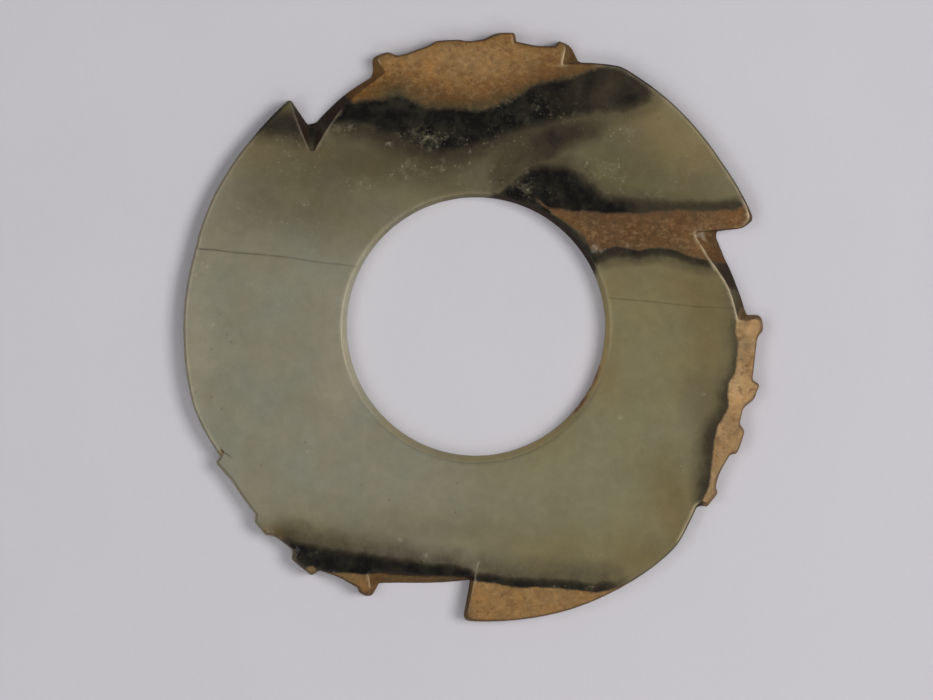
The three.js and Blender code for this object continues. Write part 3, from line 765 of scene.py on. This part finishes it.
def relief(x, y, face):
    """How far the face is worn below its flat plane, in millimetres, always positive."""
    seed = 3 if face == "top" else 203
    soft = 0.035 * (1 + clouds(x, y, 22, seed + 81, 2)) + 0.010 * (1 + noise(x, y, 5.0, seed + 83))
    crusted = weathered(x, y, seed)
    rough = 0.055 + 0.045 * clouds(x, y, 3.2, seed + 85, 3) + 0.05 * np.clip(noise(x, y, 1.5, seed + 86) - 0.25, 0, 1)
    depth = soft + crusted * rough
    if face == "top":
        mark = marks(x, y, THICKNESS, "top")
        depth = depth + 0.07 * np.clip(-mark, 0, 1) + 0.05 * np.clip(mark, 0, 1)
        depth = depth + 0.05 * flecks(x, y, seed) * np.clip(noise(x, y, 1.3, 91), 0, 1)
        for cx, cy, r, deep in CHIPS:
            d = np.hypot(x - cx, y - cy) + 0.25 * r * noise(x, y, 0.9, 93)
            depth = depth + deep * np.clip(1 - (d / r) ** 2, 0, 1) ** 0.8
    return depth


# Small losses on the edges of the upper face: (x, y, radius, depth).
CHIPS = [
    (-70.35, 22.1, 0.75, 0.45), (-63.9, -31.9, 0.95, 0.30), (-45.4, -56.6, 0.9, 0.35), (-51.5, -51.9, 0.8, 0.25),
    (58.9, -44.4, 0.9, 0.45), (67.9, 2.6, 0.9, 0.40), (-40.0, 50.4, 0.6, 0.2), (-23.2, 63.0, 0.7, 0.3),
    (69.6, 26.9, 0.7, 0.2), (12.6, 71.5, 0.6, 0.2), (-35.8, -62.6, 0.8, 0.3), (30.7, 19.7, 0.7, 0.18),
    (-22.0, 24.8, 0.5, 0.15), (-26.8, -20.9, 0.5, 0.12), (20.4, -27.2, 0.45, 0.12), (72.1, -11.6, 0.7, 0.25),
]


def outward(ring):
    tangent = np.roll(ring, -1, 0) - np.roll(ring, 1, 0)
    n = np.stack([tangent[:, 1], -tangent[:, 0]], -1)
    return n / np.maximum(1e-9, np.linalg.norm(n, axis=1))[:, None]


def lift(points, z):
    """Heights for a ring: the worn relief of each face carries over its rounded edge."""
    x, y = points[:, 0], points[:, 1]
    high = min(1.0, max(0.0, (z - (THICKNESS - EDGE)) / EDGE))
    low = min(1.0, max(0.0, (EDGE - z) / EDGE))
    out = np.full(len(points), float(z))
    if high > 0:
        out -= high * relief(x, y, "top")
    if low > 0:
        out += low * relief(x, y, "under")
    return out


rings, ring_z = [], []
middle = outline(0.5, 0)
run = np.concatenate([[0], np.cumsum(np.hypot(*np.diff(middle, axis=0).T))])
for z, by in LEVELS:
    ring = outline(share_at(z), by)
    # sawn and ground walls: long shallow waves that lean a little, never outside the outline
    lean = run + 0.5 * z
    wave = 0.5 + 0.5 * noise(lean, np.full(len(ring), z * 0.35), 2.6, 301)
    fine = 0.5 + 0.5 * noise(lean, np.full(len(ring), z * 0.9), 0.9, 302)
    depth = 0.05 * wave + 0.022 * fine
    heavy = weathered(ring[:, 0], ring[:, 1], 3)
    depth = depth + heavy * 0.06 * (0.5 + 0.5 * noise(run, np.full(len(ring), z), 1.3, 303))
    if 0 < z < THICKNESS:
        ring = ring - outward(ring) * (depth * min(1.0, 2 * min(z, THICKNESS - z)))[:, None]
    rings.append(ring)
    ring_z.append(lift(ring, z))

bores, bore_z = [], []
around = 2 * math.pi * np.arange(BORE_SIDES) / BORE_SIDES
for z, by in LEVELS:
    ring = bore(z / THICKNESS, by)
    turn = around * BORE_UPPER[2]
    # the drill left faint level grooves round the wall
    groove = 0.5 + 0.5 * np.sin(2 * math.pi * z / 0.83 + 0.6 * noise(turn, turn * 0, 14.0, 311))
    depth = 0.03 * groove + 0.03 * (0.5 + 0.5 * noise(turn, np.full(BORE_SIDES, z * 1.4), 3.0, 312))
    if 0 < z < THICKNESS:
        centre = ring.mean(0)
        direction = (ring - centre) / np.linalg.norm(ring - centre, axis=1)[:, None]
        ring = ring + direction * (depth * min(1.0, 2 * min(z, THICKNESS - z)))[:, None]
    bores.append(ring)
    bore_z.append(lift(ring, z))

count = len(rings[0])
verts = [np.column_stack([ring, z]) for ring, z in zip(rings, ring_z)]
verts += [np.column_stack([ring, z]) for ring, z in zip(bores, bore_z)]
faces = []


def band(low, high, n, flip):
    i = np.arange(n)
    j = (i + 1) % n
    a, b, c, d = low + i, low + j, high + j, high + i
    quads = np.stack([a, b, c, d], 1) if not flip else np.stack([b, a, d, c], 1)
    faces.extend(quads.tolist())


starts = [k * count for k in range(len(LEVELS))]
inner = len(LEVELS) * count
bore_starts = [inner + k * BORE_SIDES for k in range(len(LEVELS))]
for k in range(len(LEVELS) - 1):
    band(starts[k], starts[k + 1], count, False)
    band(bore_starts[k], bore_starts[k + 1], BORE_SIDES, True)
total = inner + BORE_SIDES * len(LEVELS)


def beside(line, offsets):
    """Copies of a line set off to its sides, to give a groove its own edges."""
    line = np.asarray(line, float)
    pts = points_at(line, np.arange(0.5, run_of(line)[-1] - 0.5, 0.45))
    tangent = np.gradient(pts, axis=0)
    n = np.stack([-tangent[:, 1], tangent[:, 0]], 1)
    n /= np.linalg.norm(n, axis=1)[:, None]
    return [pts + n * o for o in offsets]


def fill(level, step, top):
    """Triangles across a face, between the outer ring and the drilled hole."""
    global total
    outer, hole = rings[level], bores[level]
    lo, hi = outer.min(0), outer.max(0)
    rows = np.arange(lo[1], hi[1], step * math.sqrt(3) / 2)
    grid = np.concatenate([
        np.stack([np.arange(lo[0] + (step / 2 if k % 2 else 0), hi[0], step), np.full(len(np.arange(lo[0] + (step / 2 if k % 2 else 0), hi[0], step)), y)], 1)
        for k, y in enumerate(rows)
    ])
    bx, by, br = hole[:, 0].mean(), hole[:, 1].mean(), 0.0
    br = np.hypot(hole[:, 0] - bx, hole[:, 1] - by).mean()
    grid = grid[np.hypot(grid[:, 0] - bx, grid[:, 1] - by) > br + 0.55 * step]
    near = np.hypot(grid[:, 0] - CENTRE[0], grid[:, 1] - CENTRE[1]) > 58
    keep = np.ones(len(grid), bool)
    keep[near] = inside(grid[near, 0], grid[near, 1], outer) > 0.5 * step
    grid = grid[keep]
    extra = []
    if top:
        for line in (FISSURE_WEST, FISSURE_EAST, SAW_RUN, NOTCH_CUT):
            extra += beside(line, (-0.3, -0.1, 0.1, 0.3))
        for cx, cy in DARK_SPECKS + PALE_SPECKS:
            extra.append(np.array([(cx, cy)] + [(cx + r * math.cos(a), cy + r * math.sin(a)) for r in (0.18, 0.36) for a in np.arange(6) * math.pi / 3 + r]))
        for cx, cy, r, _ in CHIPS:
            extra.append(np.array([(cx + q * r * math.cos(a), cy + q * r * math.sin(a)) for q in (0.15, 0.4, 0.65, 0.9) for a in np.arange(9) * math.pi / 4.5 + q]))
        extra = np.concatenate(extra)
        ok = (inside(extra[:, 0], extra[:, 1], outer) > 0.12) & (np.hypot(extra[:, 0] - bx, extra[:, 1] - by) > br + 0.12)
        extra = extra[ok]
        close = np.zeros(len(grid), bool)
        for s in range(0, len(grid), 4000):
            block = grid[s : s + 4000]
            close[s : s + 4000] = (((block[:, None] - extra[None]) ** 2).sum(2).min(1)) < (0.42 * step) ** 2
        grid = np.concatenate([grid[~close], extra])
    points = np.concatenate([outer, hole, grid])
    n, m = len(outer), len(hole)
    edges = [(i, (i + 1) % n) for i in range(n)] + [(n + i, n + (i + 1) % m) for i in range(m)]
    co, _, tris, origin, _, _ = delaunay_2d_cdt([Vector(p) for p in points], edges, [], 1, 1e-6)
    co = np.array([tuple(p) for p in co])
    index = np.full(len(co), -1)
    for i, source in enumerate(origin):
        if source:
            k = source[0]
            index[i] = starts[level] + k if k < n else (bore_starts[level] + k - n if k < n + m else -1)
    new = index < 0
    index[new] = total + np.arange(new.sum())
    x, y = co[new, 0], co[new, 1]
    z = THICKNESS - relief(x, y, "top") if top else relief(x, y, "under")
    verts.append(np.column_stack([x, y, z]))
    total += int(new.sum())
    tris = np.array(tris)
    middle_of = co[tris].mean(1)
    tris = tris[np.hypot(middle_of[:, 0] - bx, middle_of[:, 1] - by) > br - 0.02]
    p = co[tris]
    turn = (p[:, 1, 0] - p[:, 0, 0]) * (p[:, 2, 1] - p[:, 0, 1]) - (p[:, 1, 1] - p[:, 0, 1]) * (p[:, 2, 0] - p[:, 0, 0])
    tris = tris[np.abs(turn) > 1e-9]
    turn = turn[np.abs(turn) > 1e-9]
    wrong = (turn < 0) if top else (turn > 0)
    tris[wrong] = tris[wrong][:, ::-1]
    faces.extend(index[tris].tolist())


fill(0, UNDER_STEP, False)
fill(len(LEVELS) - 1, TOP_STEP, True)

# how strong the painted highlight is on the edge of the upper face, level by level
EDGE_HIGHLIGHT_BY_LEVEL = [0.30, 0.85, 1.0, 0.9, 0.45]
# per vertex: painted highlight on the edges (positive) and painted shade at the foot of the walls (negative)
rim = []
for k, (z, _) in enumerate(LEVELS):
    share = EDGE_HIGHLIGHT_BY_LEVEL[k - len(LEVELS) + len(EDGE_HIGHLIGHT_BY_LEVEL)] if k >= len(LEVELS) - len(EDGE_HIGHLIGHT_BY_LEVEL) else 0.0
    rim.append(share * rim_light(rings[k]) - wall_foot_painted_shade(rings[k], z))
for k, (z, _) in enumerate(LEVELS):
    share = EDGE_HIGHLIGHT_BY_LEVEL[k - len(LEVELS) + len(EDGE_HIGHLIGHT_BY_LEVEL)] if k >= len(LEVELS) - len(EDGE_HIGHLIGHT_BY_LEVEL) else 0.0
    # the hole: painted highlight round its upper edge, painted shade at its foot
    rim.append(share * bore_light(bores[k]) - (0.12 if z < 1 else 0.0))

verts = np.concatenate(verts)
rim = np.concatenate(rim)
rim = np.concatenate([rim, np.zeros(len(verts) - len(rim))])
mesh = bpy.data.meshes.new("jade_disc_stone")
mesh.from_pydata((verts / 1000.0).tolist(), [], faces)
mesh.validate()
mesh.update()
mesh.shade_smooth()
disc = bpy.data.objects.new("jade_disc_stone", mesh)
bpy.context.scene.collection.objects.link(disc)

# ---- the stone's marks, kept on the vertices ------------------------------

X, Y, Z = verts[:, 0], verts[:, 1], verts[:, 2]
low = 1 - ease(0.6, 5.4, Z)  # the zones wander a little on their way down through the slab
drift = np.stack([1.6 * noise(X, Y, 20, 401), 1.6 * noise(X, Y, 20, 402)], 1) * low[:, None]
QX, QY = X + drift[:, 0], Y + drift[:, 1]
# the stone's colour, with painted light and shade round the hole
body = stone(QX, QY, 3) * bore_painted_shading(X, Y)
edge, which = crust_edge(QX, QY, 3)
rind = crust(QX, QY, which, 3)
dark = ink(QX, QY, 3)
fleck = flecks(X, Y, 3) * (1 - 0.6 * low)
mark = np.where(Z > 3.0, marks(X, Y, Z, "top"), marks(X, Y, Z, "under"))
side = np.hypot(X - BORE_UPPER[0], Y - BORE_UPPER[1]) < 34.6
earth = np.where(side & (Z < 5.2), stain(X, Y, Z), 0)


def put(name, values, kind):
    attribute = mesh.attributes.new(name, kind, "POINT")
    values = np.asarray(values, np.float32)
    if kind == "FLOAT_COLOR":
        attribute.data.foreach_set("color", np.column_stack([values, np.ones(len(values), np.float32)]).ravel())
    else:
        attribute.data.foreach_set("value", values)


put("stone_body", np.clip(linear(body) - 0.005, 0.002, 1), "FLOAT_COLOR")
put("stone_rind", np.clip(linear(rind) - 0.010, 0.002, 1), "FLOAT_COLOR")
put("stone_edge", edge, "FLOAT")
put("stone_dark", dark, "FLOAT")
put("stone_fleck", fleck, "FLOAT")
put("stone_mark", mark, "FLOAT")
put("stone_earth", earth, "FLOAT")
put("stone_painted_edge_light_shade", rim, "FLOAT")
up = np.zeros(len(mesh.vertices) * 3, np.float32)
mesh.vertices.foreach_get("normal", up)
put("stone_wall", ease(0.85, 0.35, np.abs(up.reshape(-1, 3)[:, 2])), "FLOAT")
put("stone_crest", (which == 0).astype(float), "FLOAT")

# ==== material =============================================================


class Nodes:
    """Short ways to add and join shader nodes."""

    def __init__(self, tree):
        self.tree = tree

    def add(self, kind, **settings):
        node = self.tree.nodes.new(kind)
        for key, value in settings.items():
            setattr(node, key, value)
        return node

    def put(self, value, socket):
        if isinstance(value, bpy.types.NodeSocket):
            self.tree.links.new(value, socket)
        else:
            socket.default_value = value

    def field(self, name, part="Fac"):
        return self.add("ShaderNodeAttribute", attribute_name=name).outputs[part]

    def math(self, operation, a, b=0.0, c=0.0, clamp=False):
        node = self.add("ShaderNodeMath", operation=operation, use_clamp=clamp)
        for value, socket in zip((a, b, c), node.inputs):
            self.put(value, socket)
        return node.outputs[0]

    def step(self, value, low, high, to_low=0.0, to_high=1.0):
        node = self.add("ShaderNodeMapRange", interpolation_type="SMOOTHSTEP")
        for v, key in ((value, "Value"), (low, "From Min"), (high, "From Max"), (to_low, "To Min"), (to_high, "To Max")):
            self.put(v, node.inputs[key])
        return node.outputs["Result"]

    def mix(self, factor, a, b, blend="MIX"):
        node = self.add("ShaderNodeMix", data_type="RGBA", blend_type=blend)
        self.put(factor, node.inputs[0])
        self.put(a, node.inputs[6])
        self.put(b, node.inputs[7])
        return node.outputs[2]

    def noise(self, where, size_mm, detail=2.0, rough=0.5, distort=0.0, offset=0.0):
        node = self.add("ShaderNodeTexNoise")
        node.inputs["Scale"].default_value = 1000.0 / size_mm
        node.inputs["Detail"].default_value = detail
        node.inputs["Roughness"].default_value = rough
        node.inputs["Distortion"].default_value = distort
        if offset:
            shift = self.add("ShaderNodeVectorMath", operation="ADD")
            self.put(where, shift.inputs[0])
            shift.inputs[1].default_value = (offset, offset * 0.7, -offset)
            where = shift.outputs[0]
        self.put(where, node.inputs["Vector"])
        return node.outputs["Fac"]

    def cells(self, where, size_mm, feature="F1"):
        node = self.add("ShaderNodeTexVoronoi", feature=feature)
        node.inputs["Scale"].default_value = 1000.0 / size_mm
        self.put(where, node.inputs["Vector"])
        return node

    def stretchy(self, where, scale, turn):
        node = self.add("ShaderNodeMapping")
        self.put(where, node.inputs["Vector"])
        node.inputs["Rotation"].default_value = (0, 0, math.radians(turn))
        node.inputs["Scale"].default_value = scale
        return node.outputs[0]


def rgb(*values):
    return (*[float(v) for v in linear(values)], 1.0)


jade = bpy.data.materials.new("jade")
jade.use_nodes = True
tree = jade.node_tree
tree.nodes.clear()
n = Nodes(tree)
out = n.add("ShaderNodeOutputMaterial")
skin = n.add("ShaderNodeBsdfPrincipled")
tree.links.new(skin.outputs[0], out.inputs["Surface"])
place = n.add("ShaderNodeTexCoord").outputs["Object"]

body_colour = n.field("stone_body", "Color")
rind_colour = n.field("stone_rind", "Color")
edge_value, dark_value = n.field("stone_edge"), n.field("stone_dark")
fleck_value, mark_value = n.field("stone_fleck"), n.field("stone_mark")
earth_value, crest_value = n.field("stone_earth"), n.field("stone_crest")
painted_edge_value, wall_value = n.field("stone_painted_edge_light_shade"), n.field("stone_wall")

fine = n.noise(place, 0.9, 3.0, 0.6)
grain = n.noise(place, 0.42, 2.0, 0.6, offset=0.31)
cloud = n.noise(place, 3.4, 3.0, 0.55, 0.4, offset=0.77)
wide = n.noise(place, 9.0, 2.0, 0.5, 0.6, offset=1.31)
brushed = n.noise(n.stretchy(place, (0.16, 2.2, 1.0), 8), 1.0, 2.0, 0.6, offset=0.53)

# the jade itself: clouded, with faint fibres
value = n.math("MULTIPLY_ADD", cloud, 0.26, 0.87)
value = n.math("MULTIPLY", value, n.math("MULTIPLY_ADD", fine, 0.13, 0.935))
value = n.math("MULTIPLY", value, n.math("MULTIPLY_ADD", brushed, 0.02, 0.99))
value = n.math("MULTIPLY", value, n.math("MULTIPLY_ADD", grain, 0.10, 0.95))
colour = n.mix(1.0, body_colour, value, "MULTIPLY")
colour = n.mix(n.step(wide, 0.52, 0.78, 0.0, 0.16), colour, rgb(128, 116, 88))

# ink: brown where it is thin, near black where it is full
dark_wob = n.math("MULTIPLY_ADD", n.math("SUBTRACT", cloud, 0.5), 0.34, dark_value)
dark_wob = n.math("MULTIPLY_ADD", n.math("SUBTRACT", fine, 0.5), 0.16, dark_wob)
dark_in = n.math("MULTIPLY", dark_wob, n.step(dark_value, 0.01, 0.2))
colour = n.mix(n.step(dark_in, 0.0, 0.62, 0.0, 0.95), colour, rgb(62, 55, 41))
smoke = n.noise(place, 5.0, 5.0, 0.66, 0.3, offset=7.7)
inky = n.mix(n.step(smoke, 0.40, 0.68), rgb(14, 13, 12), rgb(39, 36, 29))
inky = n.mix(n.math("MULTIPLY", wall_value, 0.8), inky, rgb(44, 25, 9))
colour = n.mix(n.step(dark_in, 0.34, 1.02), colour, inky)

stained_wall = n.math("MULTIPLY", n.math("MULTIPLY", wall_value, n.step(dark_value, 0.1, 0.6)), 0.85)
colour = n.mix(stained_wall, colour, rgb(41, 24, 8))

# pale flecks, in irregular drifts
wisps = n.noise(place, 2.1, 4.0, 0.68, 0.3, offset=3.3)
crumbs = n.noise(place, 1.15, 2.0, 0.55, 0.2, offset=4.1)
reach_of = n.math("MULTIPLY", n.math("SUBTRACT", 1.0, fleck_value, clamp=True), 0.11)
soft_wisp = n.step(n.math("SUBTRACT", wisps, reach_of), 0.42, 0.60)
crumb = n.step(n.math("SUBTRACT", crumbs, reach_of), 0.46, 0.68)
presence = n.step(fleck_value, -0.06, 0.55)
flake = n.math("MULTIPLY", n.math("MULTIPLY", crumb, n.step(wisps, 0.44, 0.58)), presence)
drift_pale = n.math("MULTIPLY", n.math("MULTIPLY", soft_wisp, presence), 0.34)
colour = n.mix(drift_pale, colour, rgb(114, 108, 84))
colour = n.mix(n.math("MULTIPLY", flake, 0.34), colour, rgb(130, 125, 100))
dot = n.cells(place, 0.95)
dots = n.math("MULTIPLY", n.step(dot.outputs["Distance"], 0.14, 0.34, 1.0, 0.0), n.step(dot.outputs["Color"], 0.52, 0.60))
dots = n.math("MULTIPLY", dots, n.math("MULTIPLY", presence, n.step(wisps, 0.38, 0.56)))
colour = n.mix(n.math("MULTIPLY", dots, 0.50), colour, rgb(152, 148, 124))

# weathered crust: grainy, with pits and pale grit
warp = n.math("MULTIPLY_ADD", n.math("SUBTRACT", cloud, 0.5), 1.3, edge_value)
warp = n.math("MULTIPLY_ADD", n.math("SUBTRACT", fine, 0.5), 0.8, warp)
crusted = n.step(warp, -0.8, 0.8)
lumps = n.noise(place, 1.5, 4.0, 0.68, 0.5, offset=2.7)
mottle = n.math("MULTIPLY_ADD", lumps, 0.95, 0.49)
mottle = n.math("MULTIPLY", mottle, n.math("MULTIPLY_ADD", cloud, 0.36, 0.83))
mottle = n.math("MULTIPLY", mottle, n.math("MULTIPLY_ADD", grain, 0.70, 0.65))
mottle = n.math("MULTIPLY", mottle, n.math("MULTIPLY_ADD", fine, 0.50, 0.75))
rind = n.mix(1.0, rind_colour, mottle, "MULTIPLY")
rusty = n.noise(place, 2.6, 4.0, 0.65, 0.6, offset=2.1)
rind = n.mix(n.step(rusty, 0.50, 0.68, 0.0, 0.6), rind, rgb(100, 66, 37))
pale_veins = n.noise(n.stretchy(place, (0.8, 1.1, 1.0), 5), 1.25, 5.0, 0.74, 0.1, offset=5.2)
rind = n.mix(n.math("MULTIPLY", n.step(pale_veins, 0.46, 0.68), n.step(warp, 1.0, 4.0, 0.10, 0.36)), rind, rgb(160, 128, 88))
pit = n.cells(place, 1.9)
pits = n.math("MULTIPLY", n.step(n.math("MULTIPLY_ADD", grain, 0.35, pit.outputs["Distance"]), 0.20, 0.48, 1.0, 0.0), n.step(pit.outputs["Color"], 0.55, 0.7))
rind = n.mix(n.math("MULTIPLY", pits, 0.6), rind, rgb(78, 50, 26))
grit = n.noise(place, 0.8, 3.0, 0.7, 0.6, offset=6.3)
near_edge = n.math("MULTIPLY", n.step(warp, -0.6, 0.2), n.step(warp, 0.6, 2.6, 1.0, 0.0))
gritty = n.math("MULTIPLY", n.step(grit, 0.60, 0.70), n.math("MULTIPLY_ADD", crest_value, -0.6, 1.0))
rind = n.mix(n.math("MULTIPLY", gritty, n.math("MULTIPLY", near_edge, 0.32)), rind, rgb(166, 144, 106))
colour = n.mix(crusted, colour, rind)

# lines, specks, painted highlights and painted shade on the edges, earth in the hole
colour = n.mix(n.math("MULTIPLY", mark_value, -0.85, clamp=True), colour, rgb(30, 26, 20))
colour = n.mix(n.math("MULTIPLY", mark_value, 0.95, clamp=True), colour, rgb(196, 188, 164))
# painted highlight along the edges
colour = n.mix(n.math("MULTIPLY", painted_edge_value, 0.85, clamp=True), colour, rgb(214, 196, 160))
# painted shade along the foot of the walls
painted_wall_shade = n.math("MULTIPLY_ADD", n.math("SUBTRACT", cloud, 0.5), -0.5, n.math("MULTIPLY", painted_edge_value, -1.0))
colour = n.mix(n.math("MULTIPLY", n.step(painted_edge_value, 0.0, -0.1), painted_wall_shade, clamp=True), colour, rgb(40, 32, 20))
colour = n.mix(n.math("MULTIPLY", n.step(n.math("MULTIPLY_ADD", n.math("SUBTRACT", fine, 0.5), 0.9, earth_value), 0.25, 0.8), 0.85), colour, rgb(112, 50, 34))
tree.links.new(colour, skin.inputs["Base Color"])

rough = n.math("MULTIPLY_ADD", cloud, 0.08, 0.20)
rough = n.math("MULTIPLY_ADD", brushed, 0.02, rough)
rough = n.math("MULTIPLY_ADD", wall_value, 0.6, rough)
rough_rind = n.math("MULTIPLY_ADD", fine, 0.16, 0.5)
rough_rind = n.math("MULTIPLY_ADD", wall_value, 0.3, rough_rind)
mixed = n.add("ShaderNodeMix", data_type="FLOAT")
n.put(crusted, mixed.inputs[0])
n.put(rough, mixed.inputs[2])
n.put(rough_rind, mixed.inputs[3])
tree.links.new(mixed.outputs[0], skin.inputs["Roughness"])
skin.inputs["IOR"].default_value = 1.5
skin.inputs["Specular IOR Level"].default_value = 0.2
skin.inputs["Metallic"].default_value = 0.0

# fine relief: polish lines on the jade, open grain on the crust
polish = n.math("MULTIPLY", brushed, 0.004)
polish = n.math("MULTIPLY_ADD", cloud, 0.05, polish)
height = n.math("MULTIPLY_ADD", fine, 0.014, polish)
open_grain = n.math("MULTIPLY_ADD", grain, 0.05, n.math("MULTIPLY", fine, 0.10))
open_grain = n.math("MULTIPLY_ADD", pits, -0.06, open_grain)
height = n.math("MULTIPLY_ADD", open_grain, crusted, height)
height = n.math("MULTIPLY_ADD", flake, -0.012, height)
bump = n.add("ShaderNodeBump")
bump.inputs["Strength"].default_value = 1.0
bump.inputs["Distance"].default_value = 0.001
tree.links.new(height, bump.inputs["Height"])
tree.links.new(bump.outputs[0], skin.inputs["Normal"])

mesh.materials.append(jade)
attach(disc, "root")
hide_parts("jade_disc")

# ==== stage ================================================================

floor_mesh = bpy.data.meshes.new("floor")
reach = 1.6
floor_mesh.from_pydata([(-reach, -reach, 0), (reach, -reach, 0), (reach, reach, 0), (-reach, reach, 0)], [], [(0, 1, 2, 3)])
floor = bpy.data.objects.new("floor", floor_mesh)
floor.location = (0, 0, -0.00003)
bpy.context.scene.collection.objects.link(floor)
paper = bpy.data.materials.new("pale_paper")
paper.use_nodes = True
pt = Nodes(paper.node_tree)
paper_skin = paper.node_tree.nodes["Principled BSDF"]
paper_place = pt.add("ShaderNodeTexCoord").outputs["Object"]
weave = pt.noise(paper_place, 1.1, 3.0, 0.6)
broad = pt.noise(paper_place, 40.0, 2.0, 0.5)
tone = pt.math("MULTIPLY", pt.math("MULTIPLY_ADD", weave, 0.05, 0.975), pt.math("MULTIPLY_ADD", broad, 0.04, 0.98))
paper.node_tree.links.new(pt.mix(1.0, rgb(196, 193.5, 199.5), tone, "MULTIPLY"), paper_skin.inputs["Base Color"])
paper_skin.inputs["Roughness"].default_value = 0.9
paper_skin.inputs["Specular IOR Level"].default_value = 0.1
floor_mesh.materials.append(paper)

AIM = Vector((0.0, 0.0, 0.003))


def panel(name, azimuth, elevation, distance, size, power, tint=(1, 1, 1)):
    light = bpy.data.lights.new(name, "AREA")
    light.shape = "DISK"
    light.size = size
    light.energy = power
    light.color = tint
    lamp = bpy.data.objects.new(name, light)
    a, e = math.radians(azimuth), math.radians(elevation)
    lamp.location = AIM + distance * Vector((math.cos(e) * math.cos(a), math.cos(e) * math.sin(a), math.sin(e)))
    lamp.rotation_mode = "QUATERNION"
    lamp.rotation_quaternion = (lamp.location - AIM).to_track_quat("Z", "Y")
    bpy.context.scene.collection.objects.link(lamp)
    return lamp


# one strong soft lamp on the right and three weaker ones round the other sides
for name, azimuth, elevation, power, tint in (
    ("right", 5, 55, 14.8, (1.0, 0.985, 0.97)),
    ("lower_right", -65, 56, 3.1, (1.0, 0.99, 0.98)),
    ("left_upper", 170, 60, 4.0, (0.98, 0.99, 1.0)),
    ("left_lower", 220, 54, 3.3, (0.98, 0.99, 1.0)),
):
    panel(name, azimuth, elevation, 1.5, 0.68, power, tint)

world = bpy.data.worlds.new("studio")
bpy.context.scene.world = world
world.use_nodes = True
wt = Nodes(world.node_tree)
backdrop = world.node_tree.nodes["Background"]
height_up = wt.add("ShaderNodeSeparateXYZ")
world.node_tree.links.new(wt.add("ShaderNodeTexCoord").outputs["Generated"], height_up.inputs[0])
square = wt.math("MULTIPLY", height_up.outputs["Z"], height_up.outputs["Z"])
world.node_tree.links.new(wt.math("MULTIPLY_ADD", square, -0.17, 0.205), backdrop.inputs["Strength"])
backdrop.inputs["Color"].default_value = (0.985, 0.99, 1.0, 1.0)

lens = bpy.data.cameras.new("camera")
camera = bpy.data.objects.new("camera", lens)
bpy.context.scene.collection.objects.link(camera)
# straight above the disc: 237 mm across the view at the middle of its thickness
STAND_OFF, VIEW_WIDTH = 1.8, 0.23698
camera.location = (-0.00172, -0.00582, 0.003 + STAND_OFF)
camera.rotation_euler = (0, 0, 0)
lens.sensor_width = 36.0
lens.lens = 36.0 * STAND_OFF / VIEW_WIDTH
lens.clip_start, lens.clip_end = 0.05, 20.0
bpy.context.scene.camera = camera
bpy.context.scene.view_settings.view_transform = "Standard"
